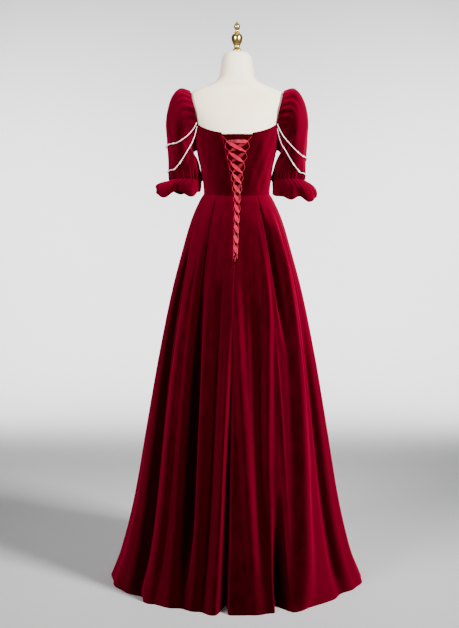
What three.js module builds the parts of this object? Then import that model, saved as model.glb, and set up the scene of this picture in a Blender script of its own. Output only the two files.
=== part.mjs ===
// A long A-line evening gown in dark red velvet, worn by a dress form on a pole and a round base.
// The back closes with a satin ribbon laced through cord loops over a modesty panel, the elbow-length
// puff sleeves are gathered into ruffled cuffs, and two strands of pearls swag round each sleeve.
//
// Millimetres, +Z up. The origin is on the floor under the pole. The gown's back, with its lacing,
// faces -Y, its front +Y, and +X is on the right of someone who looks at the lacing.
// "angle" is measured round the body in degrees: 0 at the centre back, 90 at +X, 180 at the centre front.

import * as THREE from "three";

const RAD = Math.PI / 180;

// Heights and lengths that drive everything else.
const WAIST_Z = 1213; // waist seam at the sides
const WAIST_DIP = 16; // the seam is this much lower at the centre back
const UNDERARM_Z = 1352;
const BACK_NECK_Z = 1389; // back neckline at its lowest
const FRONT_NECK_Z = 1392;
const CORNER_Z = 1424; // where neckline, armhole and sleeve meet
const BACK_CORNER = 53; // degrees
const FRONT_CORNER = 127;
const SLIT_END_Z = 980; // bottom of the laced opening, in the skirt

// Cloth: how far its layers stand off the form, and how thick they are.
const SHELL = 5; // outer face of the bodice above the form
const CLOTH = 2;
const PANEL_FACE = -3.5; // outer face of the modesty panel, from the bodice's outer face
const PANEL_DROP = 3; // how much deeper it hangs behind the skirt
const PANEL_CLOTH = 1;
const SEAM = 0.25; // half the gap between two pieces at a seam
const ARMHOLE_GAP = 0.9; // straight up, which leaves about 0.4 across the slanting seam

// The form: half its width, and its depth behind and in front of the pole, at each height.
const FORM = [
  { z: 915, half: 142, back: 100, front: 92 },
  { z: 1015, half: 152, back: 110, front: 100 },
  { z: 1100, half: 134, back: 97, front: 95 },
  { z: 1160, half: 112, back: 82, front: 87 },
  { z: 1213, half: 99.5, back: 75, front: 82 },
  { z: 1265, half: 104, back: 80, front: 89 },
  { z: 1330, half: 117, back: 90, front: 104 },
  { z: 1385, half: 131, back: 96, front: 112 },
  { z: 1435, half: 147, back: 94, front: 104 },
  { z: 1475, half: 160, back: 84, front: 86 },
  { z: 1500, half: 163, back: 70, front: 68 },
  { z: 1520, half: 158, back: 57, front: 53 },
  { z: 1538, half: 144, back: 49, front: 44 },
  { z: 1549, half: 119, back: 49, front: 43 },
  { z: 1561, half: 88, back: 52, front: 45 },
  { z: 1572, half: 69, back: 53, front: 47 },
  { z: 1586, half: 58, back: 53, front: 49 },
  { z: 1614, half: 53, back: 52, front: 50 },
  { z: 1642, half: 49, back: 49, front: 48 },
  { z: 1658, half: 41, back: 41, front: 41 },
  { z: 1666, half: 26, back: 26, front: 26 },
];
const FORM_TOP_Z = 1668; // neck cap, flat in the middle
const SQUARENESS = 0.05; // how much a section swells between its four axes
const HEM_SQUARENESS = -0.03; // at the hem, which is a little flatter there
const BUST = { z: 1378, angle: 150, out: 15, high: 44, wide: 17 }; // each side of the centre front

// The skirt's outline by share of the drop from the waist seam to the hem.
const SKIRT = [
  { drop: 0, half: 104.5, back: 80, front: 87 },
  { drop: 0.02, half: 119, back: 91, front: 97 },
  { drop: 0.07, half: 145, back: 116, front: 115 },
  { drop: 0.14, half: 170, back: 141, front: 137 },
  { drop: 0.26, half: 206, back: 178, front: 166 },
  { drop: 0.42, half: 242, back: 226, front: 206 },
  { drop: 0.61, half: 280, back: 286, front: 256 },
  { drop: 0.8, half: 320, back: 350, front: 306 },
  { drop: 0.93, half: 360, back: 402, front: 344 },
  { drop: 1, half: 394, back: 440, front: 368 },
];

// The centre-back line leaves the middle below the waist and runs to this angle at the hem.
const BACK_SEAM_HEM = -7;

// The skirt's folds. A fold runs from angle "waist" to angle "hem", and "turn" says how late it moves over.
// "depth" is how far it sinks (a ridge is negative). It grows between the shares "from" and "full" of the
// drop, raised to "late", and between "ease" and "gone" falls to the share "rest". "left" and "right" are
// its half widths in degrees. A row leaves out what is as usual, and a pleat fades soon below the waist.
const USUAL_FOLD = { turn: 1, late: 1, ease: 0.9, gone: 1, rest: 1 };
const PLEAT = { from: 0, full: 0.05, ease: 0.07, gone: 0.34, rest: 0 };
const FOLDS = [
  // behind
  { waist: -74, hem: -70, depth: -8, from: 0.05, full: 0.5, rest: 0.8, left: 9, right: 8 },
  { waist: -60, hem: -50, turn: 0.3, depth: 36, from: 0.03, full: 0.42, ease: 0.8, rest: 0.5, left: 9, right: 7 },
  { waist: -44, hem: -41, turn: 0.5, depth: -15, from: 0.08, full: 0.5, rest: 0.7, left: 8, right: 3.4 },
  { ...PLEAT, waist: -33, hem: -33, depth: 9, left: 3, right: 1.8 },
  { waist: -33, hem: -25, turn: 0.4, depth: 54, from: 0.04, full: 0.6, ease: 0.82, rest: 0.3, left: 6, right: 8 },
  { waist: -14, hem: -16, depth: 15, from: 0.15, full: 0.5, ease: 0.95, rest: 0.8, left: 5, right: 4 },
  { waist: -5, hem: -10.4, depth: -8, from: 0.2, full: 0.6, left: 3.5, right: 3.2 },
  { waist: 0, hem: -7, turn: 2, depth: 96, from: 0.16, full: 1, late: 2, left: 2.2, right: 3.6 },
  { waist: -4, hem: 8, depth: -13, from: 0.1, full: 0.4, ease: 0.7, rest: 0.3, left: 4.5, right: 6 },
  { waist: 13, hem: 12, depth: 12, from: 0.18, full: 0.5, ease: 0.8, rest: 0.4, left: 6, right: 6 },
  { waist: 32, hem: 13, turn: 1.5, depth: -12, from: 0.08, full: 0.4, ease: 0.5, rest: 0, left: 5, right: 5 },
  { ...PLEAT, waist: 33, hem: 36, depth: 10, left: 1.8, right: 3 },
  { waist: 36, hem: 37, depth: 24, from: 0.03, full: 0.2, ease: 0.22, gone: 0.42, rest: 0, left: 4, right: 6 },
  { waist: 49, hem: 24, turn: 0.42, depth: -22, from: 0.01, full: 0.2, rest: 0.7, left: 8, right: 9 },
  { waist: 30, hem: 19, depth: 62, from: 0.7, full: 1, late: 1.2, left: 4.4, right: 3.6 },
  { waist: 66, hem: 56, turn: 0.6, depth: 20, from: 0.08, full: 0.6, ease: 0.95, rest: 0.7, left: 10, right: 9 },
  { waist: 80, hem: 75, depth: -8, from: 0.1, full: 0.6, ease: 0.95, rest: 0.8, left: 8, right: 8 },
  // in front
  { waist: 100, hem: 98, depth: 20, from: 0.1, full: 0.6, ease: 0.95, rest: 0.7, left: 8, right: 8 },
  { waist: 116, hem: 118, depth: -16, from: 0.05, full: 0.5, ease: 0.95, rest: 0.7, left: 8, right: 8 },
  { ...PLEAT, waist: 147, hem: 147, depth: 9, left: 3, right: 1.8 },
  { waist: 147, hem: 140, turn: 0.6, depth: 42, from: 0.04, full: 0.6, ease: 0.86, rest: 0.5, left: 7, right: 6 },
  { waist: 160, hem: 157, depth: -12, from: 0.1, full: 0.5, rest: 0.7, left: 6, right: 7 },
  { waist: 178, hem: 174, depth: 22, from: 0.2, full: 0.8, left: 6, right: 6 },
  { waist: 193, hem: 191, depth: -14, from: 0.1, full: 0.5, rest: 0.7, left: 7, right: 7 },
  { ...PLEAT, waist: 213, hem: 213, depth: 9, left: 1.8, right: 3 },
  { waist: 213, hem: 208, turn: 0.6, depth: 38, from: 0.04, full: 0.6, ease: 0.86, rest: 0.6, left: 6, right: 7 },
  { waist: 229, hem: 229, depth: -16, from: 0.08, full: 0.5, rest: 0.7, left: 8, right: 8 },
  { waist: 250, hem: 250, depth: 26, from: 0.06, full: 0.6, rest: 0.7, left: 9, right: 9 },
  { waist: 269, hem: 271, depth: -7, from: 0.1, full: 0.6, rest: 0.7, left: 8, right: 8 },
];

// Half the width of the laced opening, by height.
const OPENING = [
  { z: 980, half: 0.6 },
  { z: 992, half: 7 },
  { z: 1010, half: 8 },
  { z: 1100, half: 9.8 },
  { z: 1205, half: 14.5 },
  { z: 1270, half: 22.5 },
  { z: 1330, half: 34.5 },
  { z: 1389, half: 48 },
];

// The lacing: loops on twelve levels, and half the distance between the ribbon's turns on each side.
const LEVELS = 12;
const FIRST_LEVEL_Z = 1364;
const LEVEL_STEP = 32.1;
const TURNS = [
  { z: 1011, half: 6.2 },
  { z: 1140, half: 7.4 },
  { z: 1204, half: 9.8 },
  { z: 1236, half: 12.4 },
  { z: 1268, half: 16 },
  { z: 1300, half: 21 },
  { z: 1332, half: 27 },
  { z: 1364, half: 34 },
];
const RIBBON = { wide: 11, pinched: 2.4, thick: 0.6 };
const UNDER = -2.4; // heights above the gown's outer face: ribbon below, cord, ribbon above
const CORD_HIGH = -0.5;
const OVER = 1.5;
const CORD_R = 0.8;
const CORD_REACH = 3.4; // the loop's end lies this far inside the ribbon's turn
const LOOP_HALF = 4.6; // half the loop's opening beside the turn
const TAIL = 22; // free end of the ribbon below the last loop

// Sleeve sections from armhole to cuff, for the +X sleeve: their outermost and innermost points, and
// their half depth along Y. The armhole itself follows the bodice and the neck edge.
const SLEEVE = [
  { outX: 186, outZ: 1547, inX: 136, inZ: 1350, deep: 80 },
  { outX: 214, outZ: 1514, inX: 138, inZ: 1344, deep: 84 },
  { outX: 229, outZ: 1450, inX: 134, inZ: 1336, deep: 80 },
  { outX: 226, outZ: 1388, inX: 125, inZ: 1323, deep: 73 },
  { outX: 222, outZ: 1331, inX: 118, inZ: 1306, deep: 67 },
  { outX: 219, outZ: 1286, inX: 114, inZ: 1281, deep: 60 },
  { outX: 214, outZ: 1258, inX: 112, inZ: 1256, deep: 47 },
];
// The sleeve's neck edge over the shoulder, from its top (0) to the neckline's corners (1). At the corners
// it is on the bodice.
const NECK_EDGE = [
  { share: 0, x: 150, behind: 0, front: 0, z: 1545 },
  { share: 0.25, x: 146, behind: -31, front: 30, z: 1530 },
  { share: 0.5, x: 140, behind: -53, front: 50, z: 1501 },
  { share: 0.75, x: 131, behind: -66, front: 68, z: 1464 },
];
const SLEEVE_Y = 3; // middle of the sleeve along Y
const ARMHOLE_STEPS = 5; // columns from each corner to the side seam
const NECK_TURN = 106; // the sleeve's own angle at the two neckline corners
const CAP_GATHERS = { count: 10, deep: 3.8, until: 0.5 };
const CUFF_GATHERS = { count: 10, deep: 2.6, from: 0.72 };

// The cuff ruffle springs out from the last sleeve section. Its hem's turns are given by the sleeve's own
// angle, how far each stands out as a share of the width, and the height. Waves that stand out hang lower.
const RUFFLE = { outHem: 253, inHem: 114, deepHem: 63 };
const RUFFLE_HEM = {
  left: [
    { u: 0, out: 0.1, z: 1239 },
    { u: 28, out: 0.14, z: 1209 },
    { u: 55, out: 0.16, z: 1195 },
    { u: 86, out: -0.14, z: 1219 },
    { u: 119, out: 0.14, z: 1197 },
    { u: 150, out: 0, z: 1219 },
    { u: 180, out: 0, z: 1244 },
    { u: 212, out: 0.06, z: 1224 },
    { u: 240, out: -0.08, z: 1231 },
    { u: 270, out: 0.1, z: 1220 },
    { u: 300, out: -0.07, z: 1231 },
    { u: 328, out: 0.1, z: 1222 },
    { u: 360, out: 0.1, z: 1239 },
  ],
  right: [
    { u: 0, out: 0.04, z: 1216 },
    { u: 24, out: 0.09, z: 1202 },
    { u: 58, out: 0.15, z: 1181 },
    { u: 79, out: -0.1, z: 1199 },
    { u: 100, out: 0.09, z: 1187 },
    { u: 126, out: -0.05, z: 1199 },
    { u: 150, out: 0.05, z: 1203 },
    { u: 180, out: 0, z: 1222 },
    { u: 208, out: 0.06, z: 1213 },
    { u: 238, out: -0.08, z: 1220 },
    { u: 266, out: 0.1, z: 1210 },
    { u: 296, out: -0.07, z: 1220 },
    { u: 324, out: 0.09, z: 1210 },
    { u: 360, out: 0.04, z: 1216 },
  ],
};

// Pearl strands: the heights where each starts, at the neckline's corner, and where it hangs lowest, how far
// across the sleeve it has come down to that, and how far its middle is from the cloth.
const PEARL_R = 1.6;
const STRAND_START_X = 123;
const STRANDS = [
  { name: "pearls_left_upper", side: -1, top: 1434, low: 1364, reach: 72, clear: 3.5 },
  { name: "pearls_left_lower", side: -1, top: 1427, low: 1284, reach: 80, clear: 3.3 },
  { name: "pearls_right_upper", side: 1, top: 1431, low: 1325, reach: 90, clear: 3.2 },
  { name: "pearls_right_lower", side: 1, top: 1421, low: 1275, reach: 81, clear: 3.2 },
];

const STAND = { poleR: 15, baseR: 150, baseHigh: 12 };

// Radius and height of the finial's outline, from its foot up.
const FINIAL = [
  [0, 1668.4], [16, 1668.4], [16, 1672], [11, 1676], [9, 1683], [12, 1692], [17, 1705], [18, 1714],
  [15, 1722], [7, 1727], [9, 1729], [9, 1731], [4.5, 1734], [5, 1737], [9, 1743], [10, 1749],
  [8.5, 1755], [5, 1758], [5, 1762], [3, 1764.5], [0, 1765],
];

const FINISH = {
  velvet: { color: 0x5c0414, roughness: 0.85, metalness: 0 },
  satin: { color: 0xd83a55, roughness: 0.35, metalness: 0 },
  pearl: { color: 0xf0e8e0, roughness: 0.25, metalness: 0 },
  cream: { color: 0xe6dccf, roughness: 0.8, metalness: 0 },
  gold: { color: 0xb08d2c, roughness: 0.25, metalness: 1 },
  steel: { color: 0xc9a24a, roughness: 0.3, metalness: 1 },
};

const mix = (a, b, s) => a + (b - a) * s;
const clamp01 = (s) => Math.min(1, Math.max(0, s));
const steps = (from, to, count) => Array.from({ length: count + 1 }, (_, i) => mix(from, to, i / count));

function smooth(from, to, x) {
  const s = clamp01((x - from) / (to - from));
  return s * s * (3 - 2 * s);
}

// A table's column at x: a smooth curve through its rows that doesn't overshoot them.
function along(rows, key, column, x) {
  const last = rows.length - 1;
  if (x <= rows[0][key]) return rows[0][column];
  if (x >= rows[last][key]) return rows[last][column];
  const i = rows.findIndex((row) => row[key] > x) - 1;
  const slope = (k) => (rows[k + 1][column] - rows[k][column]) / (rows[k + 1][key] - rows[k][key]);
  const tangent = (k) => {
    if (k === 0) return slope(0);
    if (k === last) return slope(last - 1);
    const p = slope(k - 1);
    const q = slope(k);
    return p * q <= 0 ? 0 : (2 * p * q) / (p + q);
  };
  const wide = rows[i + 1][key] - rows[i][key];
  const s = (x - rows[i][key]) / wide;
  const rise = rows[i + 1][column] - rows[i][column];
  const a = tangent(i) * wide;
  const b = tangent(i + 1) * wide;
  return rows[i][column] + s * (a + s * (3 * rise - 2 * a - b + s * (a + b - 2 * rise)));
}

// A point of a body section: an ellipse with its own depth behind and in front, slightly squared.
function section(angle, half, back, front, squareness) {
  const s = Math.sin(angle * RAD);
  const c = Math.cos(angle * RAD);
  const swell = 1 + squareness * Math.sin(2 * angle * RAD) ** 2;
  return [half * s * swell, -(c > 0 ? back : front) * c * swell];
}

// The form's surface, moved out by "out".
function formPoint(angle, z, out) {
  const size = (column) => along(FORM, "z", column, z) + out;
  const [x, y] = section(angle, size("half"), size("back"), size("front"), SQUARENESS);
  const around = Math.abs(((angle + 540) % 360) - 180);
  const cup = Math.exp(-(((z - BUST.z) / BUST.high) ** 2) - ((around - BUST.angle) / BUST.wide) ** 2);
  return [x, y + BUST.out * cup, z];
}

const waistZ = (angle) => WAIST_Z - WAIST_DIP * Math.max(0, Math.cos(angle * RAD));

// How far the folds sink the skirt at this angle and share of the drop.
function foldDepth(angle, drop) {
  let sum = 0;
  for (const row of FOLDS) {
    const f = { ...USUAL_FOLD, ...row };
    const at = mix(f.hem, f.waist, clamp01(1 - drop) ** f.turn);
    const away = ((angle - at + 540) % 360) - 180;
    const width = away < 0 ? f.left : f.right;
    if (Math.abs(away) >= width) continue;
    const grown = smooth(f.from, f.full, drop) ** f.late;
    const kept = mix(1, f.rest, smooth(f.ease, f.gone, drop));
    sum += f.depth * grown * kept * (0.5 + 0.5 * Math.cos((Math.PI * away) / width));
  }
  return sum;
}

// The skirt's outer face. It meets the bodice at the seam and hangs down to the floor.
function skirtPoint(angle, drop) {
  const z = waistZ(angle);
  const size = (column) =>
    along(SKIRT, "drop", column, drop) +
    (along(FORM, "z", column, z) + SHELL - SKIRT[0][column]) * (1 - smooth(0, 0.05, drop));
  const half = size("half");
  const back = size("back");
  const front = size("front");
  const squareness = mix(SQUARENESS, HEM_SQUARENESS, smooth(0.3, 1, drop));
  const [x, y] = section(angle, half, back, front, squareness);
  const s = Math.sin(angle * RAD) / half;
  const c = -Math.cos(angle * RAD) / (Math.cos(angle * RAD) > 0 ? back : front);
  const sink = foldDepth(angle, drop) / Math.hypot(s, c);
  return [x - s * sink, y - c * sink, z * (1 - drop)];
}

const backSeam = (drop) => BACK_SEAM_HEM * (1 - (1 - drop) ** 2);

// The top edge of the bodice: neckline behind, armhole, neckline in front.
function bodiceTop(angle) {
  const a = Math.abs(angle) > 180 ? 360 - Math.abs(angle) : Math.abs(angle);
  const arm = (corner) => UNDERARM_Z + (CORNER_Z - UNDERARM_Z) * ((a - 90) / (corner - 90)) ** 1.6;
  if (a <= BACK_CORNER) return BACK_NECK_Z + (CORNER_Z - BACK_NECK_Z) * (a / BACK_CORNER) ** 2.4;
  if (a <= FRONT_CORNER) return arm(a <= 90 ? BACK_CORNER : FRONT_CORNER);
  const s = (180 - a) / (180 - FRONT_CORNER);
  return FRONT_NECK_Z + (CORNER_Z - FRONT_NECK_Z) * s ** 2.6 - 7 * Math.exp(-((s / 0.2) ** 2));
}

// The gown's outer face at any height, bodice above the seam and skirt below.
function gownPoint(angle, z) {
  const seam = waistZ(angle);
  return z >= seam ? formPoint(angle, z, SHELL) : skirtPoint(angle, 1 - z / seam);
}

const vec = (p) => new THREE.Vector3(...p);

// The surface's outward direction, from its slopes along u and v.
function normalAt(surface, u, v, du, dv) {
  const across = vec(surface(u + du, v)).sub(vec(surface(u - du, v)));
  const down = vec(surface(u, v + dv)).sub(vec(surface(u, v - dv)));
  return across.cross(down).normalize();
}

// The middle of the laced opening: its angle by height.
function closureAngle(z) {
  return z >= waistZ(0) ? 0 : backSeam(1 - z / waistZ(0));
}

const halfWidthAt = (z) => Math.abs(gownPoint(90, z)[0]);

// A point beside the middle of the opening, "high" above the gown's outer face.
function closurePoint(x, z, high) {
  const angle = closureAngle(z) + Math.asin(x / halfWidthAt(z)) / RAD;
  const out = normalAt(gownPoint, angle, z, 0.5, 14);
  return vec(gownPoint(angle, z)).addScaledVector(out, high);
}

// A geometry from points and triangles, turned so that its faces point out.
function geometry(points, triangles) {
  let volume = 0;
  for (const [a, b, c] of triangles) volume += points[a].dot(points[b].clone().cross(points[c]));
  const made = new THREE.BufferGeometry();
  const flat = points.flatMap((p) => p.toArray());
  made.setAttribute("position", new THREE.Float32BufferAttribute(flat, 3));
  made.setIndex(triangles.flatMap(([a, b, c]) => (volume < 0 ? [a, c, b] : [a, b, c])));
  return made;
}

// A cloth wall: outer points on rows of columns, the same points moved in, and rims between them. Both
// faces are cut into triangles along the same diagonals, so that they never meet where the cloth twists.
function wall(outer, inner, closed) {
  const rows = outer.length;
  const columns = outer[0].length;
  const points = [...outer.flat(), ...inner.flat()];
  const triangles = [];
  const at = (side, j, i) => side * rows * columns + j * columns + (i % columns);
  const quad = (a, b, c, d) => triangles.push([a, b, c], [a, c, d]);
  const across = closed ? columns : columns - 1;
  for (let j = 0; j < rows - 1; j++)
    for (let i = 0; i < across; i++) {
      quad(at(0, j, i), at(0, j, i + 1), at(0, j + 1, i + 1), at(0, j + 1, i));
      quad(at(1, j, i), at(1, j + 1, i), at(1, j + 1, i + 1), at(1, j, i + 1));
    }
  for (let i = 0; i < across; i++) {
    quad(at(1, 0, i), at(1, 0, i + 1), at(0, 0, i + 1), at(0, 0, i));
    quad(at(0, rows - 1, i), at(0, rows - 1, i + 1), at(1, rows - 1, i + 1), at(1, rows - 1, i));
  }
  const end = columns - 1;
  for (let j = 0; j < (closed ? 0 : rows - 1); j++) {
    quad(at(0, j, 0), at(0, j + 1, 0), at(1, j + 1, 0), at(1, j, 0));
    quad(at(1, j, end), at(1, j + 1, end), at(0, j + 1, end), at(0, j, end));
  }
  return geometry(points, triangles);
}

// A wall on a surface of (u, v): "columns" maps each row's v to its u values. "out" is 1 where u x v points
// out. Each point moves in square to its neighbours, at a seam straight towards the body's axis, and the
// last row stays level where it lies on the floor.
const USUAL_CLOTH = { thick: CLOTH, out: 1, onFloor: false, closed: false };

function cloth(surface, rows, columns, choices) {
  const { thick, out, onFloor, closed } = { ...USUAL_CLOTH, ...choices };
  const outer = rows.map((v) => columns(v).map((u) => vec(surface(u, v))));
  const rising = Math.sign(columns(rows[0])[1] - columns(rows[0])[0]);
  const last = rows.length - 1;
  const end = outer[0].length - 1;
  const inner = outer.map((row, j) =>
    row.map((p, i) => {
      const down = outer[Math.min(j + 1, last)][i].clone().sub(outer[Math.max(j - 1, 0)][i]).normalize();
      const across = row[i === end ? 0 : i + 1].clone().sub(row[i === 0 ? end : i - 1]);
      const square = across.cross(down).multiplyScalar(-out * rising);
      const axisward = new THREE.Vector3(-p.x, -p.y, 0).normalize();
      const inward = closed || (i > 0 && i < end) ? square : axisward.addScaledVector(down, -axisward.dot(down));
      if (onFloor && j === last) inward.setZ(0);
      return p.clone().addScaledVector(inward.normalize(), thick);
    }),
  );
  return wall(outer, inner, closed);
}

// A rod through stations, each a ring of corners, closed at both ends.
function rod(stations) {
  const corners = stations[0].length;
  const points = stations.flat();
  const triangles = [];
  for (let j = 0; j < stations.length - 1; j++)
    for (let i = 0; i < corners; i++) {
      const k = (i + 1) % corners;
      const a = j * corners;
      triangles.push([a + i, a + k, a + corners + k], [a + i, a + corners + k, a + corners + i]);
    }
  const end = (stations.length - 1) * corners;
  for (let i = 1; i < corners - 1; i++) triangles.push([0, i + 1, i], [end, end + i, end + i + 1]);
  return geometry(points, triangles);
}

// The way a path of points runs at its point j.
function directionAt(path, j) {
  const next = path[Math.min(j + 1, path.length - 1)].clone();
  return next.sub(path[Math.max(j - 1, 0)]).normalize();
}

// A round cord along points: rings square to the path, turned as little as possible.
function roundCord(path, radius, sides) {
  let side = null;
  const stations = path.map((p, j) => {
    const forward = directionAt(path, j);
    side = side ?? new THREE.Vector3(0, 1, 0).cross(forward);
    side.addScaledVector(forward, -side.dot(forward)).normalize();
    const other = forward.clone().cross(side);
    return Array.from({ length: sides }, (_, i) => {
      const turn = (2 * Math.PI * i) / sides;
      const reach = side.clone().multiplyScalar(Math.cos(turn)).addScaledVector(other, Math.sin(turn));
      return p.clone().addScaledVector(reach, radius);
    });
  });
  return rod(stations);
}

const part = new THREE.Group();

function add(name, made, finish) {
  const mesh = new THREE.Mesh(made, new THREE.MeshStandardMaterial(FINISH[finish]));
  mesh.name = name;
  part.add(mesh);
}

// The dress form: torso with neck, finial, pole and base.
function formTorso() {
  const around = 28;
  const angles = steps(0, 360, around).slice(0, -1);
  const body = [915, 1015, 1100, 1165, 1190, 1213, 1238, 1265, 1310, 1350, 1385, 1420, 1450, 1475];
  const shoulders = [1498, 1516, 1530, 1542, 1551, 1560, 1570, 1582, 1600, 1642, 1658, 1666];
  const heights = [...body, ...shoulders];
  const points = heights.flatMap((z) => angles.map((a) => vec(formPoint(a, z, 0))));
  const triangles = [];
  for (let j = 0; j < heights.length - 1; j++)
    for (let i = 0; i < around; i++) {
      const k = (i + 1) % around;
      const a = j * around;
      triangles.push([a + i, a + k, a + around + k], [a + i, a + around + k, a + around + i]);
    }
  const low = points.push(new THREE.Vector3(0, 0, heights[0])) - 1;
  const top = points.push(new THREE.Vector3(0, 0, FORM_TOP_Z)) - 1;
  const end = (heights.length - 1) * around;
  for (let i = 0; i < around; i++) {
    const k = (i + 1) % around;
    triangles.push([low, k, i], [top, end + i, end + k]);
  }
  return geometry(points, triangles);
}

function turned(outline, around) {
  const made = new THREE.LatheGeometry(outline.map(([r, z]) => new THREE.Vector2(r, z)), around);
  return made.rotateX(Math.PI / 2);
}

function disc(radius, low, high, around) {
  const made = new THREE.CylinderGeometry(radius, radius, high - low, around);
  return made.rotateX(Math.PI / 2).translate(0, 0, (low + high) / 2);
}

// Bodice pieces. A row's share runs from the waist seam to the top edge.
const bodicePoint = (angle, share) => {
  const low = waistZ(angle) + SEAM;
  return formPoint(angle, mix(low, bodiceTop(angle), share), SHELL);
};

function openingAngle(z) {
  return Math.asin(along(OPENING, "z", "half", z) / halfWidthAt(z)) / RAD;
}

const sideInset = (depth) => SEAM / depth / RAD;

function bodiceBack(side) {
  const shares = steps(0, 1, 8);
  const columns = (share) => {
    const z = mix(waistZ(0), BACK_NECK_Z, share);
    const behind = steps(openingAngle(z), BACK_CORNER, 5);
    const underArm = steps(BACK_CORNER, 90 - sideInset(90), ARMHOLE_STEPS).slice(1);
    return [...behind, ...underArm].map((a) => side * a);
  };
  return cloth(bodicePoint, shares, columns);
}

function bodiceFront() {
  const start = 90 + sideInset(90);
  const angles = [
    ...steps(start, FRONT_CORNER, ARMHOLE_STEPS),
    ...steps(FRONT_CORNER, 360 - FRONT_CORNER, 12).slice(1),
    ...steps(360 - FRONT_CORNER, 360 - start, ARMHOLE_STEPS).slice(1),
  ];
  return cloth(bodicePoint, steps(0, 1, 8), () => angles);
}

// The modesty panel under the lacing, from the neckline to below the end of the opening. It hangs a
// little deeper behind the skirt than behind the bodice.
function modestyPanel() {
  const low = SLIT_END_Z - 14;
  const hidden = 15; // width under each edge
  const waist = waistZ(0);
  const above = steps(waist + 15, BACK_NECK_Z - 1, 7);
  const heights = [...steps(low, waist - 24, 8), waist - 11, waist + 1, ...above];
  const columns = (z) => {
    const half = along(OPENING, "z", "half", z) + hidden;
    return steps(-1, 1, 6).map((s) => closureAngle(z) + Math.asin((s * half) / halfWidthAt(z)) / RAD);
  };
  const hung = (angle, z) => {
    const out = normalAt(gownPoint, angle, z, 0.5, 0.5);
    const deep = PANEL_FACE - PANEL_DROP * smooth(waist, waist - 40, z);
    return vec(gownPoint(angle, z)).addScaledVector(out, deep).toArray();
  };
  return cloth(hung, heights, columns, { thick: PANEL_CLOTH });
}

// Skirt panels, hung from the waist seam to the floor.
const SKIRT_ROWS = [0, 0.03, 0.08, 0.15, 0.25, 0.38, 0.53, 0.68, 0.82, 0.93, 1];
const topGap = SEAM / WAIST_Z;

// The share of the drop for a row, kept just below the seam.
const skirtRow = (drop) => Math.max(drop, topGap);

function skirtBack(side) {
  const columns = (drop) => {
    const z = waistZ(0) * (1 - drop);
    const gap = z > SLIT_END_Z ? along(OPENING, "z", "half", z) : SEAM;
    const seam = backSeam(drop);
    const inner = seam + (side * Math.asin(gap / halfWidthAt(Math.max(z, 1)))) / RAD;
    const outer = side * (90 - sideInset(along(SKIRT, "drop", "back", drop)));
    return steps(0, 1, 27).map((s) => mix(inner, outer, s ** 1.2));
  };
  const slit = [SLIT_END_Z - 1, SLIT_END_Z + 12].map((z) => 1 - z / waistZ(0));
  const rows = [...SKIRT_ROWS, ...slit].sort((a, b) => a - b).map(skirtRow);
  return cloth(skirtPoint, rows, columns, { out: -1, onFloor: true });
}

function skirtFront() {
  const columns = (drop) => {
    const start = 90 + sideInset(along(SKIRT, "drop", "front", drop));
    return steps(start, 360 - start, 54);
  };
  return cloth(skirtPoint, SKIRT_ROWS.map(skirtRow), columns, { out: -1, onFloor: true });
}

// The armhole edge of the +X sleeve: u is 0 at the shoulder, positive behind, 180 under the arm.
function armholePoint(u) {
  const turn = Math.abs(u);
  const corner = u >= 0 ? BACK_CORNER : FRONT_CORNER;
  const angle = mix(corner, 90, clamp01((turn - NECK_TURN) / (180 - NECK_TURN)));
  const [x, y, z] = formPoint(angle, bodiceTop(angle) + ARMHOLE_GAP, SHELL);
  if (turn >= NECK_TURN) return [x, y, z];
  const depth = u >= 0 ? "behind" : "front";
  const rows = [...NECK_EDGE, { share: 1, x, [depth]: y, z }];
  return ["x", depth, "z"].map((column) => along(rows, "share", column, turn / NECK_TURN));
}

// A sleeve section's point at the sleeve's own angle u.
function sleeveRing(ring, u) {
  const c = Math.cos(u * RAD);
  const x = (ring.outX + ring.inX) / 2 + (c * (ring.outX - ring.inX)) / 2;
  const z = (ring.outZ + ring.inZ) / 2 + (c * (ring.outZ - ring.inZ)) / 2;
  return [x, SLEEVE_Y - ring.deep * Math.sin(u * RAD), z];
}

// A smooth curve through a list of points, by share of its spans.
function through(list, share) {
  const last = list.length - 1;
  const at = clamp01(share) * last;
  const i = Math.min(Math.floor(at), last - 1);
  const s = at - i;
  const pick = (k) => (k < 0 ? list[0].map((x, n) => 2 * x - list[1][n]) : list[Math.min(k, last)]);
  const [a, b, c, d] = [pick(i - 1), pick(i), pick(i + 1), pick(i + 2)];
  return b.map((x, n) => {
    const m = (c[n] - a[n]) / 2;
    const e = (d[n] - b[n]) / 2;
    return x + s * (m + s * (3 * (c[n] - x) - 2 * m - e + s * (m + e - 2 * (c[n] - x))));
  });
}

// The middle of each section, from the middle of the armhole on.
const ringMiddle = (ring) => [(ring.outX + ring.inX) / 2, SLEEVE_Y, (ring.outZ + ring.inZ) / 2];
const SLEEVE_MIDDLE = [[139, SLEEVE_Y, 1449], ...SLEEVE.map(ringMiddle)];

// The +X sleeve's outer face: u round the sleeve, share from armhole to cuff. Gathers fade from both ends.
function sleevePoint(u, share) {
  const list = [armholePoint(((u + 540) % 360) - 180), ...SLEEVE.map((ring) => sleeveRing(ring, u))];
  const p = through(list, share);
  const middle = through(SLEEVE_MIDDLE, share);
  const upper = 0.5 + 0.5 * Math.cos(u * RAD);
  const cap = smooth(0, 0.12, share) * (1 - smooth(0.15, CAP_GATHERS.until, share)) * upper;
  const low = smooth(CUFF_GATHERS.from, 1, share);
  const capWave = CAP_GATHERS.deep * cap * Math.cos(CAP_GATHERS.count * u * RAD);
  const wave = capWave + CUFF_GATHERS.deep * low * Math.cos(CUFF_GATHERS.count * u * RAD);
  const away = vec(p).sub(vec(middle)).normalize();
  return vec(p).addScaledVector(away, wave).toArray();
}

const mirrored = (surface, side) => (u, v) => {
  const [x, y, z] = surface(u, v);
  return [side * x, y, z];
};

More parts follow.
